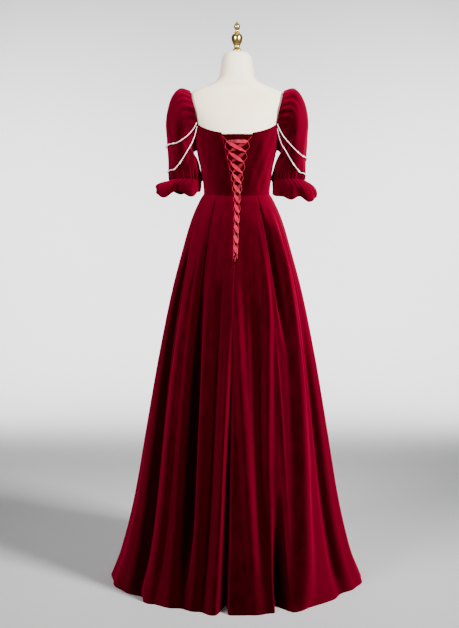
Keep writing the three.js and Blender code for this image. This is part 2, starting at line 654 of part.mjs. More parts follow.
// Under the arm the columns meet those of the bodice.
function sleeve(side) {
  const over = steps(-NECK_TURN, NECK_TURN, 24);
  const under = steps(NECK_TURN, 360 - NECK_TURN, 2 * ARMHOLE_STEPS).slice(1, -1);
  const shares = [0, 0.08, 0.18, 0.3, 0.44, 0.58, 0.72, 0.86, 0.95, 1];
  return cloth(mirrored(sleevePoint, side), shares, () => [...over, ...under], { out: side, closed: true });
}

// The cuff ruffle's outer face, from the gathering down to its waving hem.
function rufflePoint(u, share, hem) {
  const ring = SLEEVE[SLEEVE.length - 1];
  const c = Math.cos(u * RAD);
  const flare = 1 - clamp01(1 - share) ** 2.6;
  const out = mix(ring.outX, RUFFLE.outHem, flare);
  const inn = mix(ring.inX, RUFFLE.inHem, flare);
  const deep = mix(ring.deep, RUFFLE.deepHem, flare);
  const r = 1 + share * along(hem, "u", "out", u);
  const top = (ring.outZ + ring.inZ) / 2 - 1.1 + (c * (ring.outZ - ring.inZ)) / 2;
  const x = (out + inn) / 2 + ((c * (out - inn)) / 2) * r;
  const z = mix(top, along(hem, "u", "z", u), share);
  return [x, SLEEVE_Y - deep * Math.sin(u * RAD) * r, z];
}

function ruffle(name, side) {
  const columns = steps(0, 360, 49).slice(0, -1);
  const surface = (u, share) => rufflePoint(((u % 360) + 360) % 360, share, RUFFLE_HEM[name]);
  return cloth(mirrored(surface, side), [0, 0.15, 0.45, 1], () => columns, { out: side, closed: true });
}

// The ribbon's stations: place on the gown, height above it and width.
function laceStations() {
  const levelZ = (i) => FIRST_LEVEL_Z - LEVEL_STEP * i;
  const turnX = (i) => along(TURNS, "z", "half", levelZ(i));
  const list = [];
  const put = (x, z, high, wide) => list.push({ x, z, high, wide });
  // One strand, walked from the top down. "side" is where it starts, and it crosses on every level.
  const strand = (side) => {
    const down = [];
    const note = (x, z, high, wide) => down.push({ x, z, high, wide });
    let at = side;
    for (let i = 0; i < LEVELS - 1; i++) {
      const high = at < 0 ? OVER : UNDER;
      const from = at * turnX(i);
      const to = -at * turnX(i + 1);
      for (const s of [0, 0.14, 0.32, 0.5, 0.68, 0.86, 1]) {
        const wide = mix(RIBBON.pinched, RIBBON.wide, smooth(0, 0.32, Math.min(s, 1 - s)));
        note(mix(from, to, s), mix(levelZ(i), levelZ(i + 1), s), high, wide);
      }
      at = -at;
    }
    return { down, at };
  };
  const left = strand(-1);
  const right = strand(1);
  // The left strand's tail hangs below the last loop, the right one's ends behind it.
  const lastZ = levelZ(LEVELS - 1);
  put(-1, lastZ - TAIL, UNDER, 4);
  put(0, lastZ - TAIL / 2, UNDER, 5);
  put(left.at * turnX(LEVELS - 1) * 0.6, lastZ - 4, UNDER, 4);
  put(left.at * turnX(LEVELS - 1), lastZ, UNDER, RIBBON.pinched);
  list.push(...left.down.reverse());
  for (const s of [-1, -0.85, -0.6, -0.3, 0, 0.3, 0.6, 0.85, 1]) {
    const wide = Math.abs(s) < 0.8 ? RIBBON.wide : RIBBON.pinched;
    put(s * turnX(0), FIRST_LEVEL_Z, mix(UNDER, OVER, smooth(-0.35, 0.35, s)), wide);
  }
  list.push(...right.down);
  put(right.at * turnX(LEVELS - 1), lastZ, OVER, RIBBON.pinched);
  put(right.at * turnX(LEVELS - 1) * 0.5, lastZ - 4, OVER, 4);
  return list;
}

function lace() {
  const stations = laceStations();
  const middle = stations.map((s) => closurePoint(s.x, s.z, s.high));
  return rod(
    stations.map((s, j) => {
      const forward = directionAt(middle, j);
      const up = closurePoint(s.x, s.z + 8, s.high).sub(closurePoint(s.x, s.z - 8, s.high));
      const wide = up.addScaledVector(forward, -up.dot(forward)).normalize();
      const thick = forward.clone().cross(wide);
      const corner = (a, b) => {
        const edge = middle[j].clone().addScaledVector(wide, (a * s.wide) / 2);
        return edge.addScaledVector(thick, (b * RIBBON.thick) / 2);
      };
      return [corner(-1, -1), corner(1, -1), corner(1, 1), corner(-1, 1)];
    }),
  );
}

// The cord of loops along one edge of the opening, from the neckline to the last level.
function loopCord(side) {
  const path = [];
  const edge = (z) => along(OPENING, "z", "half", z) - SEAM - CORD_R - 0.2;
  const put = (x, z, high) => path.push(closurePoint(side * x, z, high));
  const sewn = (z) => put(edge(z), z, (CORD_HIGH - CLOTH / 2) / 1.5);
  for (let i = 0; i < LEVELS; i++) {
    const z = FIRST_LEVEL_Z - LEVEL_STEP * i;
    const turn = along(TURNS, "z", "half", z);
    const knee = Math.min(turn + 0.4, edge(z + LOOP_HALF));
    sewn(z + LEVEL_STEP / 2);
    put(knee, z + LOOP_HALF, CORD_HIGH);
    put(turn - CORD_REACH, z, CORD_HIGH);
    put(knee, z - LOOP_HALF, CORD_HIGH);
  }
  sewn(FIRST_LEVEL_Z - LEVEL_STEP * (LEVELS - 0.6));
  return roundCord(path, CORD_R, 5);
}

// The place on the sleeve, as its angle and share, whose x and z are the ones given.
function onSleeve(x, z, [u, share]) {
  for (let k = 0; k < 12; k++) {
    const [px, , pz] = sleevePoint(u, share);
    const slope = (moved, step) => [(moved[0] - px) / step, (moved[2] - pz) / step];
    const [ux, uz] = slope(sleevePoint(u + 0.5, share), 0.5);
    const [sx, sz] = slope(sleevePoint(u, share + 0.005), 0.005);
    const det = ux * sz - sx * uz;
    u += ((x - px) * sz - (z - pz) * sx) / det;
    share = Math.max(0.01, share + ((z - pz) * ux - (x - px) * uz) / det);
  }
  return [u, share];
}

// The share of the sleeve's length where its angle u reaches down to z.
function shareAtHeight(u, z) {
  let near = 0.2;
  let far = 1;
  for (let k = 0; k < 30; k++) {
    const half = (near + far) / 2;
    if (sleevePoint(u, half)[2] > z) near = half;
    else far = half;
  }
  return near;
}

// A pearl strand hangs from the back corner of the neckline round the sleeve to the front corner. The back
// half is found on the sleeve by its place as seen from behind, and the front half is its mirror image.
function strandPath({ side, top, low, reach, clear }) {
  const behind = [];
  let place = [NECK_TURN + 4, 0.05];
  for (const s of steps(0.03, 0.94, 8)) {
    place = onSleeve(STRAND_START_X + reach * s, low + (top - low) * (1 - s) ** 1.65, place);
    behind.push(place);
  }
  const last = sleevePoint(...place)[2];
  const sideways = (s) => [place[0] * s, shareAtHeight(place[0] * s, mix(low, last, s * s))];
  const half = [...behind, ...[0.75, 0.5, 0.25, 0].map(sideways)];
  const places = [...half, ...half.slice(0, -1).reverse().map(([u, share]) => [-u, share])];
  const surface = mirrored(sleevePoint, side);
  return places.map(([at, down]) => {
    const out = normalAt(surface, at, down, 1, 0.01).multiplyScalar(side);
    return vec(surface(at, down)).addScaledVector(out, clear);
  });
}

add("form_torso", formTorso(), "cream");
add("form_finial", turned(FINIAL, 14), "gold");
add("form_pole", disc(STAND.poleR, STAND.baseHigh + 0.3, FORM[0].z - 0.3, 20), "steel");
add("form_base", disc(STAND.baseR, 0, STAND.baseHigh, 40), "steel");

add("bodice_front", bodiceFront(), "velvet");
add("modesty_panel", modestyPanel(), "velvet");
add("skirt_front", skirtFront(), "velvet");
for (const [name, side] of [["left", -1], ["right", 1]]) {
  add(`bodice_back_${name}`, bodiceBack(side), "velvet");
  add(`skirt_back_${name}`, skirtBack(side), "velvet");
  add(`sleeve_${name}`, sleeve(side), "velvet");
  add(`cuff_ruffle_${name}`, ruffle(name, side), "velvet");
  add(`loop_cord_${name}`, loopCord(side), "satin");
}
for (const strand of STRANDS) add(strand.name, roundCord(strandPath(strand), PEARL_R, 8), "pearl");
add("lace", lace(), "satin");

export default part;
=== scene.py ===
"""A long A-line evening gown in crimson velvet, laced at the back, on a dress form with a gilt finial.

The back faces -Y. Angles go round the body in degrees: 0 at the centre back, 90 at +X, 180 in front.
"""

import bpy
import numpy as np
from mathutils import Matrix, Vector


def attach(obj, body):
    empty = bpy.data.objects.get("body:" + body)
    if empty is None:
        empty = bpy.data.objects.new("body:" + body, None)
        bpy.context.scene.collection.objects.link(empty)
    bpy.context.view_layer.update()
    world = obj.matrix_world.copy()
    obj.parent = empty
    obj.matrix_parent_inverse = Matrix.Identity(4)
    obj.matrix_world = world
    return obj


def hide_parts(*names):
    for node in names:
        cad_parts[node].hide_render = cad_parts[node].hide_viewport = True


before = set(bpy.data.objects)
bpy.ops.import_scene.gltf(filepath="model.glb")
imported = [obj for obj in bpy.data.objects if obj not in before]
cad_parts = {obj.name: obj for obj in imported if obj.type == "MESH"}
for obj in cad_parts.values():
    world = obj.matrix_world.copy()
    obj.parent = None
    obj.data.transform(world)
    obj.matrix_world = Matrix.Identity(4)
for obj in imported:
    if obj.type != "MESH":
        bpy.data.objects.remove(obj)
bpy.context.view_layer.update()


# The dress form: a limbless torso with a neck, padded and covered in cream jersey pulled smooth.
# The gown is dressed over it, so its shape also sets how the bodice and the waist sit.
MM = 0.001
FORM_Z, FORM_HALF, FORM_BACK, FORM_FRONT = MM * np.array([
    # height, half width, depth behind, depth in front
    (915, 142, 100, 92), (1015, 152, 110, 100), (1100, 134, 97, 95), (1160, 112, 82, 87),
    (1213, 99.5, 75, 82), (1265, 104, 80, 89), (1330, 117, 90, 104), (1385, 131, 96, 112),
    (1435, 147, 94, 104), (1475, 160, 84, 86), (1500, 163, 70, 68), (1520, 158, 57, 53),
    (1538, 144, 49, 44), (1549, 119, 49, 43), (1561, 88, 52, 45), (1572, 69, 53, 47),
    (1586, 58, 53, 49), (1614, 53, 52, 50), (1642, 49, 49, 48), (1658, 41, 41, 41), (1666, 26, 26, 26),
]).T
FORM_TOP = 1.668
SQUARENESS = 0.05
BUST_Z, BUST_ANGLE, BUST_OUT, BUST_HIGH, BUST_WIDE = 1.378, 150, 0.015, 0.044, 17


def curve(x, xs, ys):
    """A smooth line through rows: cubic in each gap, each slope the harmonic mean of its neighbours'."""
    gap = np.diff(xs)
    slope = np.diff(ys) / gap
    p, q = slope[:-1], slope[1:]
    inner = np.where(p * q > 0, 2 * p * q / np.where(p * q > 0, p + q, 1), 0)
    tangent = np.concatenate([slope[:1], inner, slope[-1:]])
    x = np.clip(x, xs[0], xs[-1])
    i = np.clip(np.searchsorted(xs, x, side="right") - 1, 0, len(xs) - 2)
    s = (x - xs[i]) / gap[i]
    rise = ys[i + 1] - ys[i]
    a, b = tangent[i] * gap[i], tangent[i + 1] * gap[i]
    return ys[i] + s * (a + s * (3 * rise - 2 * a - b + s * (a + b - 2 * rise)))


def ease(low, high, x):
    """0 below low, 1 above high, and 3s^2 - 2s^3 of the way between them."""
    s = np.clip((x - low) / (high - low), 0, 1)
    return s * s * (3 - 2 * s)


def body_section(angle, half, back, front, squareness=SQUARENESS):
    """An ellipse with its own depth behind and in front, swelled by squareness between its axes."""
    s, c = np.sin(np.radians(angle)), np.cos(np.radians(angle))
    swell = 1 + squareness * np.sin(2 * np.radians(angle)) ** 2
    return half * s * swell, -np.where(c > 0, back, front) * c * swell


def form_surface(angle, z, out=0.0):
    """The form's section at height z, grown by out, plus a bell-shaped cup on each side of the front."""
    half, back, front = (curve(z, FORM_Z, size) + out for size in (FORM_HALF, FORM_BACK, FORM_FRONT))
    x, y = body_section(angle, half, back, front)
    around = np.abs((angle + 540) % 360 - 180)
    cup = np.exp(-(((z - BUST_Z) / BUST_HIGH) ** 2) - ((around - BUST_ANGLE) / BUST_WIDE) ** 2)
    return np.stack(np.broadcast_arrays(x, y + BUST_OUT * cup, z), axis=-1)


def put_mesh(name, points, groups, uv=None, crease=50):
    """A mesh object from points and groups of faces, smooth but for edges sharper than crease degrees."""
    mesh = bpy.data.meshes.new(name)
    faces = [face for group in groups for face in group.tolist()]
    mesh.from_pydata(points.reshape(-1, 3).tolist(), [], faces)
    mesh.shade_smooth()
    mesh.set_sharp_from_angle(angle=np.radians(crease))
    if uv is not None:
        corner = np.empty(len(mesh.loops), dtype=np.int32)
        mesh.loops.foreach_get("vertex_index", corner)
        layer = mesh.uv_layers.new(name="UVMap")
        layer.uv.foreach_set("vector", uv.reshape(-1, 2)[corner].astype(np.float32).ravel())
    made = bpy.data.objects.new(name, mesh)
    bpy.context.scene.collection.objects.link(made)
    return made


def grid_faces(rows, across, wrap, start=0, flip=False):
    """Quads between neighbouring rows and columns of a grid that is stored row by row."""
    count = across if wrap else across - 1
    j, i = np.meshgrid(np.arange(rows - 1), np.arange(count), indexing="ij")
    k = (i + 1) % across
    quads = np.stack([j * across + i, j * across + k, (j + 1) * across + k, (j + 1) * across + i], -1)
    quads = quads.reshape(-1, 4) + start
    return quads[:, ::-1] if flip else quads


def tube_faces(rows, across):
    """Quads round a tube, and triangles from its first and last ring to two end points stored after them."""
    i = np.arange(across)
    k = (i + 1) % across
    last = (rows - 1) * across
    low = np.stack([k, i, np.full_like(i, rows * across)], -1)
    high = np.stack([last + i, last + k, np.full_like(i, rows * across + 1)], -1)
    return [grid_faces(rows, across, True), low, high]


def capped_tube(name, rings, ends, uv=None):
    """A closed surface: rings of points from low to high, each end closed by a fan to its end point."""
    points = np.concatenate([rings.reshape(-1, 3), np.array(ends)])
    if uv is not None:
        uv = np.concatenate([uv.reshape(-1, 2), uv[:1, 0], uv[-1:, 0]])
    return put_mesh(name, points, tube_faces(*rings.shape[:2]), uv, crease=60)


def fit_piece(piece, material, stands_for):
    """The piece gets its material, and takes the place of one solid of the frame."""
    piece.data.materials.append(material)
    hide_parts(stands_for)
    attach(piece, "root")


def new_material(name):
    """A material, its surface shader and its node tree."""
    made = bpy.data.materials.new(name)
    made.use_nodes = True
    tree = made.node_tree
    return made, tree.nodes["Principled BSDF"], tree


def node(tree, kind, inputs=None, **settings):
    """One node with its settings and its inputs, each a value or the socket that feeds it."""
    made = tree.nodes.new(kind)
    for key, value in settings.items():
        setattr(made, key, value)
    for key, value in (inputs or {}).items():
        if isinstance(value, bpy.types.NodeSocket):
            tree.links.new(value, made.inputs[key])
        else:
            made.inputs[key].default_value = value
    return made


def ramp(tree, fac, stops):
    """A colour ramp: each stop is a position and a colour."""
    made = node(tree, "ShaderNodeValToRGB", {"Fac": fac})
    bar = made.color_ramp
    while len(bar.elements) < len(stops):
        bar.elements.new(0.5)
    for element, (position, colour) in zip(bar.elements, stops):
        element.position = position
        element.color = (*colour, 1)
    return made.outputs["Color"]


def mottling():
    """A node group: one tone below Low and another above High of a soft noise through the piece."""
    group = bpy.data.node_groups.new("mottling", "ShaderNodeTree")
    for label in ("Scale", "Detail", "Low", "High"):
        group.interface.new_socket(label, in_out="INPUT", socket_type="NodeSocketFloat")
    for label in ("First Tone", "Second Tone"):
        group.interface.new_socket(label, in_out="INPUT", socket_type="NodeSocketColor")
    group.interface.new_socket("Tone", in_out="OUTPUT", socket_type="NodeSocketColor")
    group.interface.new_socket("Noise", in_out="OUTPUT", socket_type="NodeSocketFloat")
    given = group.nodes.new("NodeGroupInput").outputs
    place = node(group, "ShaderNodeTexCoord").outputs["Object"]
    noise = node(group, "ShaderNodeTexNoise", {
        "Vector": place, "Scale": given["Scale"], "Detail": given["Detail"]}).outputs["Fac"]
    share = node(group, "ShaderNodeMapRange", {
        "Value": noise, "From Min": given["Low"], "From Max": given["High"]}).outputs["Result"]
    tone = node(group, "ShaderNodeMix", {
        0: share, 6: given["First Tone"], 7: given["Second Tone"]}, data_type="RGBA")
    node(group, "NodeGroupOutput", {"Tone": tone.outputs[2], "Noise": noise})
    return group


MOTTLING = mottling()


def mottled(tree, shader, scale, detail, low, high, first, second):
    """The group placed in a material, with its tone as the base colour. Returns its noise."""
    made = node(tree, "ShaderNodeGroup", {
        "Scale": scale, "Detail": detail, "Low": low, "High": high,
        "First Tone": (*first, 1), "Second Tone": (*second, 1)}, node_tree=MOTTLING)
    tree.links.new(made.outputs["Tone"], shader.inputs["Base Color"])
    return made.outputs["Noise"]


def form_cover():
    """Cream jersey: fine knit as a tiny wave bump, and faint warmer blotches."""
    material, shader, tree = new_material("form_cover")
    mottled(tree, shader, 9.0, 3.0, 0.3, 0.7, (1.0, 0.82, 0.6), (1.0, 0.87, 0.66))
    place = node(tree, "ShaderNodeTexCoord").outputs["Object"]
    knit = node(tree, "ShaderNodeTexWave", {
        "Vector": place, "Scale": 420.0, "Distortion": 1.5}, bands_direction="Z")
    bump = node(tree, "ShaderNodeBump", {"Height": knit.outputs["Fac"], "Strength": 0.12, "Distance": 0.0004})
    tree.links.new(bump.outputs["Normal"], shader.inputs["Normal"])
    shader.inputs["Roughness"].default_value = 0.75
    shader.inputs["Sheen Weight"].default_value = 0.15
    return material


heights = np.concatenate([np.linspace(FORM_Z[0], 1.44, 60), np.linspace(1.445, FORM_Z[-1], 90)])
angles = np.linspace(0, 360, 128, endpoint=False)
form = form_surface(angles[None, :], heights[:, None])
torso = capped_tube("torso", form, [(0, 0, FORM_Z[0]), (0, 0, FORM_TOP)])
fit_piece(torso, form_cover(), "form_torso")


# The finial and the stand: a small turned and gilded ornament on the neck, and under the skirt a
# painted steel pole in a weighted round plate.
FINIAL = MM * np.array([
    # radius, height
    (13, 1668.4), (15.5, 1669.4), (16, 1671), (15, 1673), (11.5, 1676), (9.3, 1680), (9, 1684), (9.8, 1688),
    (12, 1692), (15, 1698), (17.3, 1706), (18, 1713), (17, 1718.5), (14.5, 1722.5), (9.5, 1725.6),
    (7.2, 1727.2), (8.6, 1728.2), (9.2, 1729.6), (8.8, 1731), (6, 1732.6), (4.5, 1734.4), (4.7, 1736.6),
    (6.6, 1739.4), (9, 1743.4), (10, 1748.2), (9.5, 1752.4), (7.6, 1756), (5.2, 1758.2), (4.6, 1759.8),
    (5, 1761.4), (4.4, 1763.2), (2.4, 1764.6),
])
FINIAL_TIP = 1.765


def metal(name, colour, roughness):
    """A metal whose polish varies with a soft noise, as handled gilt or paint does."""
    material, shader, tree = new_material(name)
    rub = mottled(tree, shader, 60.0, 4.0, 0.35, 0.6, tuple(0.72 * c for c in colour), colour)
    gloss = node(tree, "ShaderNodeMapRange", {"Value": rub, "To Min": roughness, "To Max": roughness + 0.15})
    tree.links.new(gloss.outputs["Result"], shader.inputs["Roughness"])
    shader.inputs["Metallic"].default_value = 1.0
    return material


def turned(radius, height, angle):
    """A surface of revolution: each profile point swept round the upright axis."""
    around = np.radians(angle)[None, :]
    r, z = radius[:, None], height[:, None]
    return np.stack(np.broadcast_arrays(r * np.sin(around), -r * np.cos(around), z), axis=-1)


rows = np.linspace(0, len(FINIAL) - 1, 120)
profile = [curve(rows, np.arange(len(FINIAL)), FINIAL[:, k]) for k in (0, 1)]
rings = turned(*profile, np.linspace(0, 360, 48, endpoint=False))
finial = capped_tube("finial", rings, [(0, 0, FINIAL[0, 1]), (0, 0, FINIAL_TIP)])
fit_piece(finial, metal("finial", (0.78, 0.55, 0.17), 0.16), "form_finial")

stand_paint = metal("stand", (0.62, 0.47, 0.2), 0.3)
for name in ("form_pole", "form_base"):
    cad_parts[name].material_slots[0].material = stand_paint


# The skirt: one front and two back panels of velvet, pleated into the waist seam. They hang in soft
# folds to the floor, and a seam joins the backs below the laced slit.
WAIST, WAIST_DIP, SHELL, CLOTH = 1.213, 0.016, 0.005, 0.002
SLIT_END = 0.980
DROP, SKIRT_HALF, SKIRT_BACK, SKIRT_FRONT = np.array([
    # share of the drop, half width, depth behind, depth in front
    (0, 104.5, 80, 87), (0.02, 119, 91, 97), (0.07, 145, 116, 115), (0.14, 170, 141, 137),
    (0.26, 206, 178, 166), (0.42, 242, 226, 206), (0.61, 280, 286, 256), (0.8, 320, 350, 306),
    (0.93, 360, 402, 344), (1, 394, 440, 368),
]).T * np.array([[1], [MM], [MM], [MM]])
HEM_SQUARENESS = -0.03
BACK_SEAM_HEM = -7
SIDE_GAP, BACK_GAP = 0.03, 0.0001  # half a seam's gap: at the side in degrees, at the back in metres
VALLEY = 0.03  # a fold this deep gets the darkest painted shade
FOLDS = [
    # angle at the waist and at the hem, how late it turns, depth in mm, the shares of the drop where it
    # starts and is full, how late it grows, the shares where it fades, what is left, half widths
    (-74, -70, 1, -8, 0.05, 0.5, 1, 0.9, 1, 0.8, 9, 8),
    (-60, -50, 0.3, 36, 0.03, 0.42, 1, 0.8, 1, 0.5, 9, 7),
    (-44, -41, 0.5, -15, 0.08, 0.5, 1, 0.9, 1, 0.7, 8, 3.4),
    (-33, -33, 1, 9, 0, 0.05, 1, 0.07, 0.34, 0, 3, 1.8),
    (-33, -25, 0.4, 54, 0.04, 0.6, 1, 0.82, 1, 0.3, 6, 8),
    (-14, -16, 1, 15, 0.15, 0.5, 1, 0.95, 1, 0.8, 5, 4),
    (-5, -10.4, 1, -8, 0.2, 0.6, 1, 0.95, 1, 1, 3.5, 3.2),
    (0, -7, 2, 96, 0.16, 1, 2, 1, 2, 1, 2.2, 3.6),
    (-4, 8, 1, -13, 0.1, 0.4, 1, 0.7, 1, 0.3, 4.5, 6),
    (13, 12, 1, 12, 0.18, 0.5, 1, 0.8, 1, 0.4, 6, 6),
    (32, 13, 1.5, -12, 0.08, 0.4, 1, 0.5, 1, 0, 5, 5),
    (33, 36, 1, 10, 0, 0.05, 1, 0.07, 0.34, 0, 1.8, 3),
    (36, 37, 1, 24, 0.03, 0.2, 1, 0.22, 0.42, 0, 4, 6),
    (49, 24, 0.42, -22, 0.01, 0.2, 1, 0.9, 1, 0.7, 8, 9),
    (30, 19, 1, 62, 0.7, 1, 1.2, 1, 2, 1, 4.4, 3.6),
    (66, 56, 0.6, 20, 0.08, 0.6, 1, 0.95, 1, 0.7, 10, 9),
    (80, 75, 1, -8, 0.1, 0.6, 1, 0.95, 1, 0.8, 8, 8),
    # in front
    (100, 98, 1, 20, 0.1, 0.6, 1, 0.95, 1, 0.7, 8, 8),
    (116, 118, 1, -16, 0.05, 0.5, 1, 0.95, 1, 0.7, 8, 8),
    (147, 147, 1, 9, 0, 0.05, 1, 0.07, 0.34, 0, 3, 1.8),
    (147, 140, 0.6, 42, 0.04, 0.6, 1, 0.86, 1, 0.5, 7, 6),
    (160, 157, 1, -12, 0.1, 0.5, 1, 0.9, 1, 0.7, 6, 7),
    (178, 174, 1, 22, 0.2, 0.8, 1, 1, 2, 1, 6, 6),
    (193, 191, 1, -14, 0.1, 0.5, 1, 0.9, 1, 0.7, 7, 7),
    (213, 213, 1, 9, 0, 0.05, 1, 0.07, 0.34, 0, 1.8, 3),
    (213, 208, 0.6, 38, 0.04, 0.6, 1, 0.86, 1, 0.6, 6, 7),
    (229, 229, 1, -16, 0.08, 0.5, 1, 0.9, 1, 0.7, 8, 8),
    (250, 250, 1, 26, 0.06, 0.6, 1, 0.9, 1, 0.7, 9, 9),
    (269, 271, 1, -7, 0.1, 0.6, 1, 0.9, 1, 0.7, 8, 8),
]


def waist_at(angle):
    """The seam's height, lowest at the centre back by WAIST_DIP."""
    return WAIST - WAIST_DIP * np.maximum(0, np.cos(np.radians(angle)))


def fold_sum(angle, drop, folds):
    """The depth of all folds: each a cosine bell across, grown and faded along the drop."""
    total = 0.0
    for waist, hem, turn, depth, start, full, late, fade, gone, rest, left, right in folds:
        at = hem + (waist - hem) * np.clip(1 - drop, 0, 1) ** turn
        away = (angle - at + 540) % 360 - 180
        bell = np.abs(away) / np.where(away < 0, left, right)
        bell = np.where(bell < 1, 0.5 + 0.5 * np.cos(np.pi * np.minimum(bell, 1)), 0)
        grown = ease(start, full, drop) ** late * (1 + (rest - 1) * ease(fade, gone, drop))
        total = total + MM * depth * bell * grown
    return total


def small_folds(count, seed):
    """Shallow creases in the same form as FOLDS, uneven in place, length, depth and width."""
    pick = np.random.default_rng(seed)
    angle = np.linspace(0, 360, count, endpoint=False) + pick.uniform(-6, 6, count)
    start = pick.uniform(0, 0.35, count)
    full = start + pick.uniform(0.1, 0.3, count)
    fade = full + pick.uniform(0, 0.25, count)
    depth = pick.uniform(0.8, 2.8, count) * pick.choice([-1, 1], count)
    width = pick.uniform(1.6, 3.6, count)
    return [
        (a, a + t, 1, d, s, f, 1, g, g + 0.3, 0.2, w, w * k)
        for a, t, d, s, f, g, w, k in zip(
            angle, pick.uniform(-5, 5, count), depth, start, full, fade, width, pick.uniform(0.6, 1.5, count))
    ]


CREASES = small_folds(30, 11)


def skirt_surface(angle, drop, folds=FOLDS + CREASES):
    """Ellipse sections from the seam to the floor, sunk along their outward direction by the folds."""
    z = waist_at(angle)
    near = 1 - ease(0, 0.05, drop)
    half, back, front = (
        curve(drop, DROP, size) + (curve(z, FORM_Z, form) + SHELL - size[0]) * near
        for size, form in ((SKIRT_HALF, FORM_HALF), (SKIRT_BACK, FORM_BACK), (SKIRT_FRONT, FORM_FRONT))
    )
    squareness = SQUARENESS + (HEM_SQUARENESS - SQUARENESS) * ease(0.3, 1, drop)
    x, y = body_section(angle, half, back, front, squareness)
    s, c = np.sin(np.radians(angle)), np.cos(np.radians(angle))
    nx, ny = s / half, -c / np.where(c > 0, back, front)
    sink = fold_sum(angle, drop, folds) / np.hypot(nx, ny)
    return np.stack(np.broadcast_arrays(x - nx * sink, y - ny * sink, z * (1 - drop)), axis=-1)


def grid_normals(grid, wrap, out):
    """Unit vectors across the grid, from its slopes along columns and rows. out is 1 or -1."""
    if wrap:
        across = np.roll(grid, -1, 1) - np.roll(grid, 1, 1)
    else:
        across = np.gradient(grid, axis=1)
    side = out * np.cross(across, np.gradient(grid, axis=0))
    return side / np.maximum(np.linalg.norm(side, axis=-1, keepdims=True), 1e-12)


def cloth_wall(name, grid, out, thick=CLOTH, wrap=False, flat=False, lift=0.0):
    """A closed cloth wall: the grid, the same grid moved in by thick, and rims. The edges of a panel move
    straight towards the body's axis, so that seams stay shut. UV is metres of cloth."""
    rows, across = grid.shape[:2]
    side = grid_normals(grid, wrap, out)
    if not wrap:
        down = np.gradient(grid, axis=0)[:, [0, -1]]
        down /= np.linalg.norm(down, axis=-1, keepdims=True)
        from_axis = grid[:, [0, -1]] * (1, 1, 0)
        edge = from_axis - down * np.sum(from_axis * down, axis=-1, keepdims=True)
        side[:, [0, -1]] = edge / np.linalg.norm(edge, axis=-1, keepdims=True)
    if flat:
        side[-1, :, 2] = 0
        side[-1] /= np.linalg.norm(side[-1], axis=-1, keepdims=True)
    outer, inner = grid + lift * side, grid + (lift - thick) * side
    turned_in = out < 0
    size = rows * across
    faces = [
        grid_faces(rows, across, wrap, 0, turned_in),
        grid_faces(rows, across, wrap, size, not turned_in)]
    i = np.arange(across if wrap else across - 1)
    k = (i + 1) % across
    for j, flip in ((0, turned_in), (rows - 1, not turned_in)):
        rim = np.stack([size + j * across + i, size + j * across + k, j * across + k, j * across + i], -1)
        faces.append(rim[:, ::-1] if flip else rim)
    if not wrap:
        j = np.arange(rows - 1)
        for i, flip in ((0, not turned_in), (across - 1, turned_in)):
            a, b = j * across + i, (j + 1) * across + i
            rim = np.stack([a, size + a, size + b, b], -1)
            faces.append(rim[:, ::-1] if flip else rim)
    run = np.cumsum(np.linalg.norm(np.diff(grid, axis=1, prepend=grid[:, :1]), axis=-1), axis=1)
    fall = np.cumsum(np.linalg.norm(np.diff(grid, axis=0, prepend=grid[:1]), axis=-1), axis=0)
    uv = np.stack([run - run.mean(axis=1, keepdims=True), fall], -1)
    return put_mesh(name, np.stack([outer, inner]), faces, np.stack([uv, uv]))


def reckon(tree, operation, *values):
    """The result of a sum on values, or on the sockets that give them."""
    return node(tree, "ShaderNodeMath", dict(enumerate(values)), operation=operation).outputs["Value"]


def velvet():
    """Silk velvet: a deep crimson pile. Its colour carries a painted sheen, brighter where the surface turns
    away from the eye, and a painted shade, darker down in the folds by the mesh's fold-depth attribute. Its
    nap lies a little differently in soft patches and down faint streaks, and a fine noise is the pile itself."""
    material, shader, tree = new_material("velvet")
    place = node(tree, "ShaderNodeTexCoord").outputs["Object"]
    stretched = node(tree, "ShaderNodeMapping", {"Vector": place, "Scale": (1, 1, 0.25)}).outputs["Vector"]
    patch = node(tree, "ShaderNodeTexNoise", {"Vector": stretched, "Scale": 9.0, "Detail": 3.0})
    streak = node(tree, "ShaderNodeTexNoise", {"Vector": stretched, "Scale": 60.0, "Detail": 3.0})
    pile = node(tree, "ShaderNodeTexNoise", {"Vector": place, "Scale": 1400.0, "Detail": 2.0})
    half = reckon(tree, "MULTIPLY", reckon(tree, "ADD", patch.outputs["Fac"], streak.outputs["Fac"]), 0.5)
    lying = reckon(tree, "MULTIPLY_ADD", half, 0.3, -0.15)
    # Painted sheen: the base colour turns brighter where the surface faces away from the eye.
    facing = node(tree, "ShaderNodeLayerWeight", {"Blend": 0.5}).outputs["Facing"]
    # Painted shade: the base colour darkens down in the folds, by a point attribute of fold depth.
    valley_shade = node(tree, "ShaderNodeAttribute", attribute_name="valley_shade").outputs["Fac"]
    nap_and_painted_light = reckon(tree, "MULTIPLY_ADD", valley_shade, -0.6, reckon(tree, "ADD", facing, lying))
    colour = ramp(tree, nap_and_painted_light, [
        (0.0, (0.018, 0.0, 0.001)), (0.3, (0.082, 0.0, 0.0064)),
        (0.6, (0.125, 0.0, 0.0105)), (0.95, (0.24, 0.0004, 0.023))])
    tree.links.new(colour, shader.inputs["Base Color"])
    lie = node(tree, "ShaderNodeBump", {"Height": half, "Strength": 0.25, "Distance": 0.004})
    fine = node(tree, "ShaderNodeBump", {
        "Height": pile.outputs["Fac"], "Strength": 0.3, "Distance": 0.0005, "Normal": lie.outputs["Normal"]})
    tree.links.new(fine.outputs["Normal"], shader.inputs["Normal"])
    shader.inputs["Roughness"].default_value = 0.85
    shader.inputs["Specular IOR Level"].default_value = 0.0
    shader.inputs["Sheen Weight"].default_value = 0.3
    shader.inputs["Sheen Roughness"].default_value = 0.3
    shader.inputs["Sheen Tint"].default_value = (1.0, 0.0, 0.08, 1)
    return material


VELVET = velvet()


def back_seam(drop):
    """The centre-back line's angle: it starts straight and drifts to BACK_SEAM_HEM at the hem."""
    return BACK_SEAM_HEM * (1 - (1 - drop) ** 2)


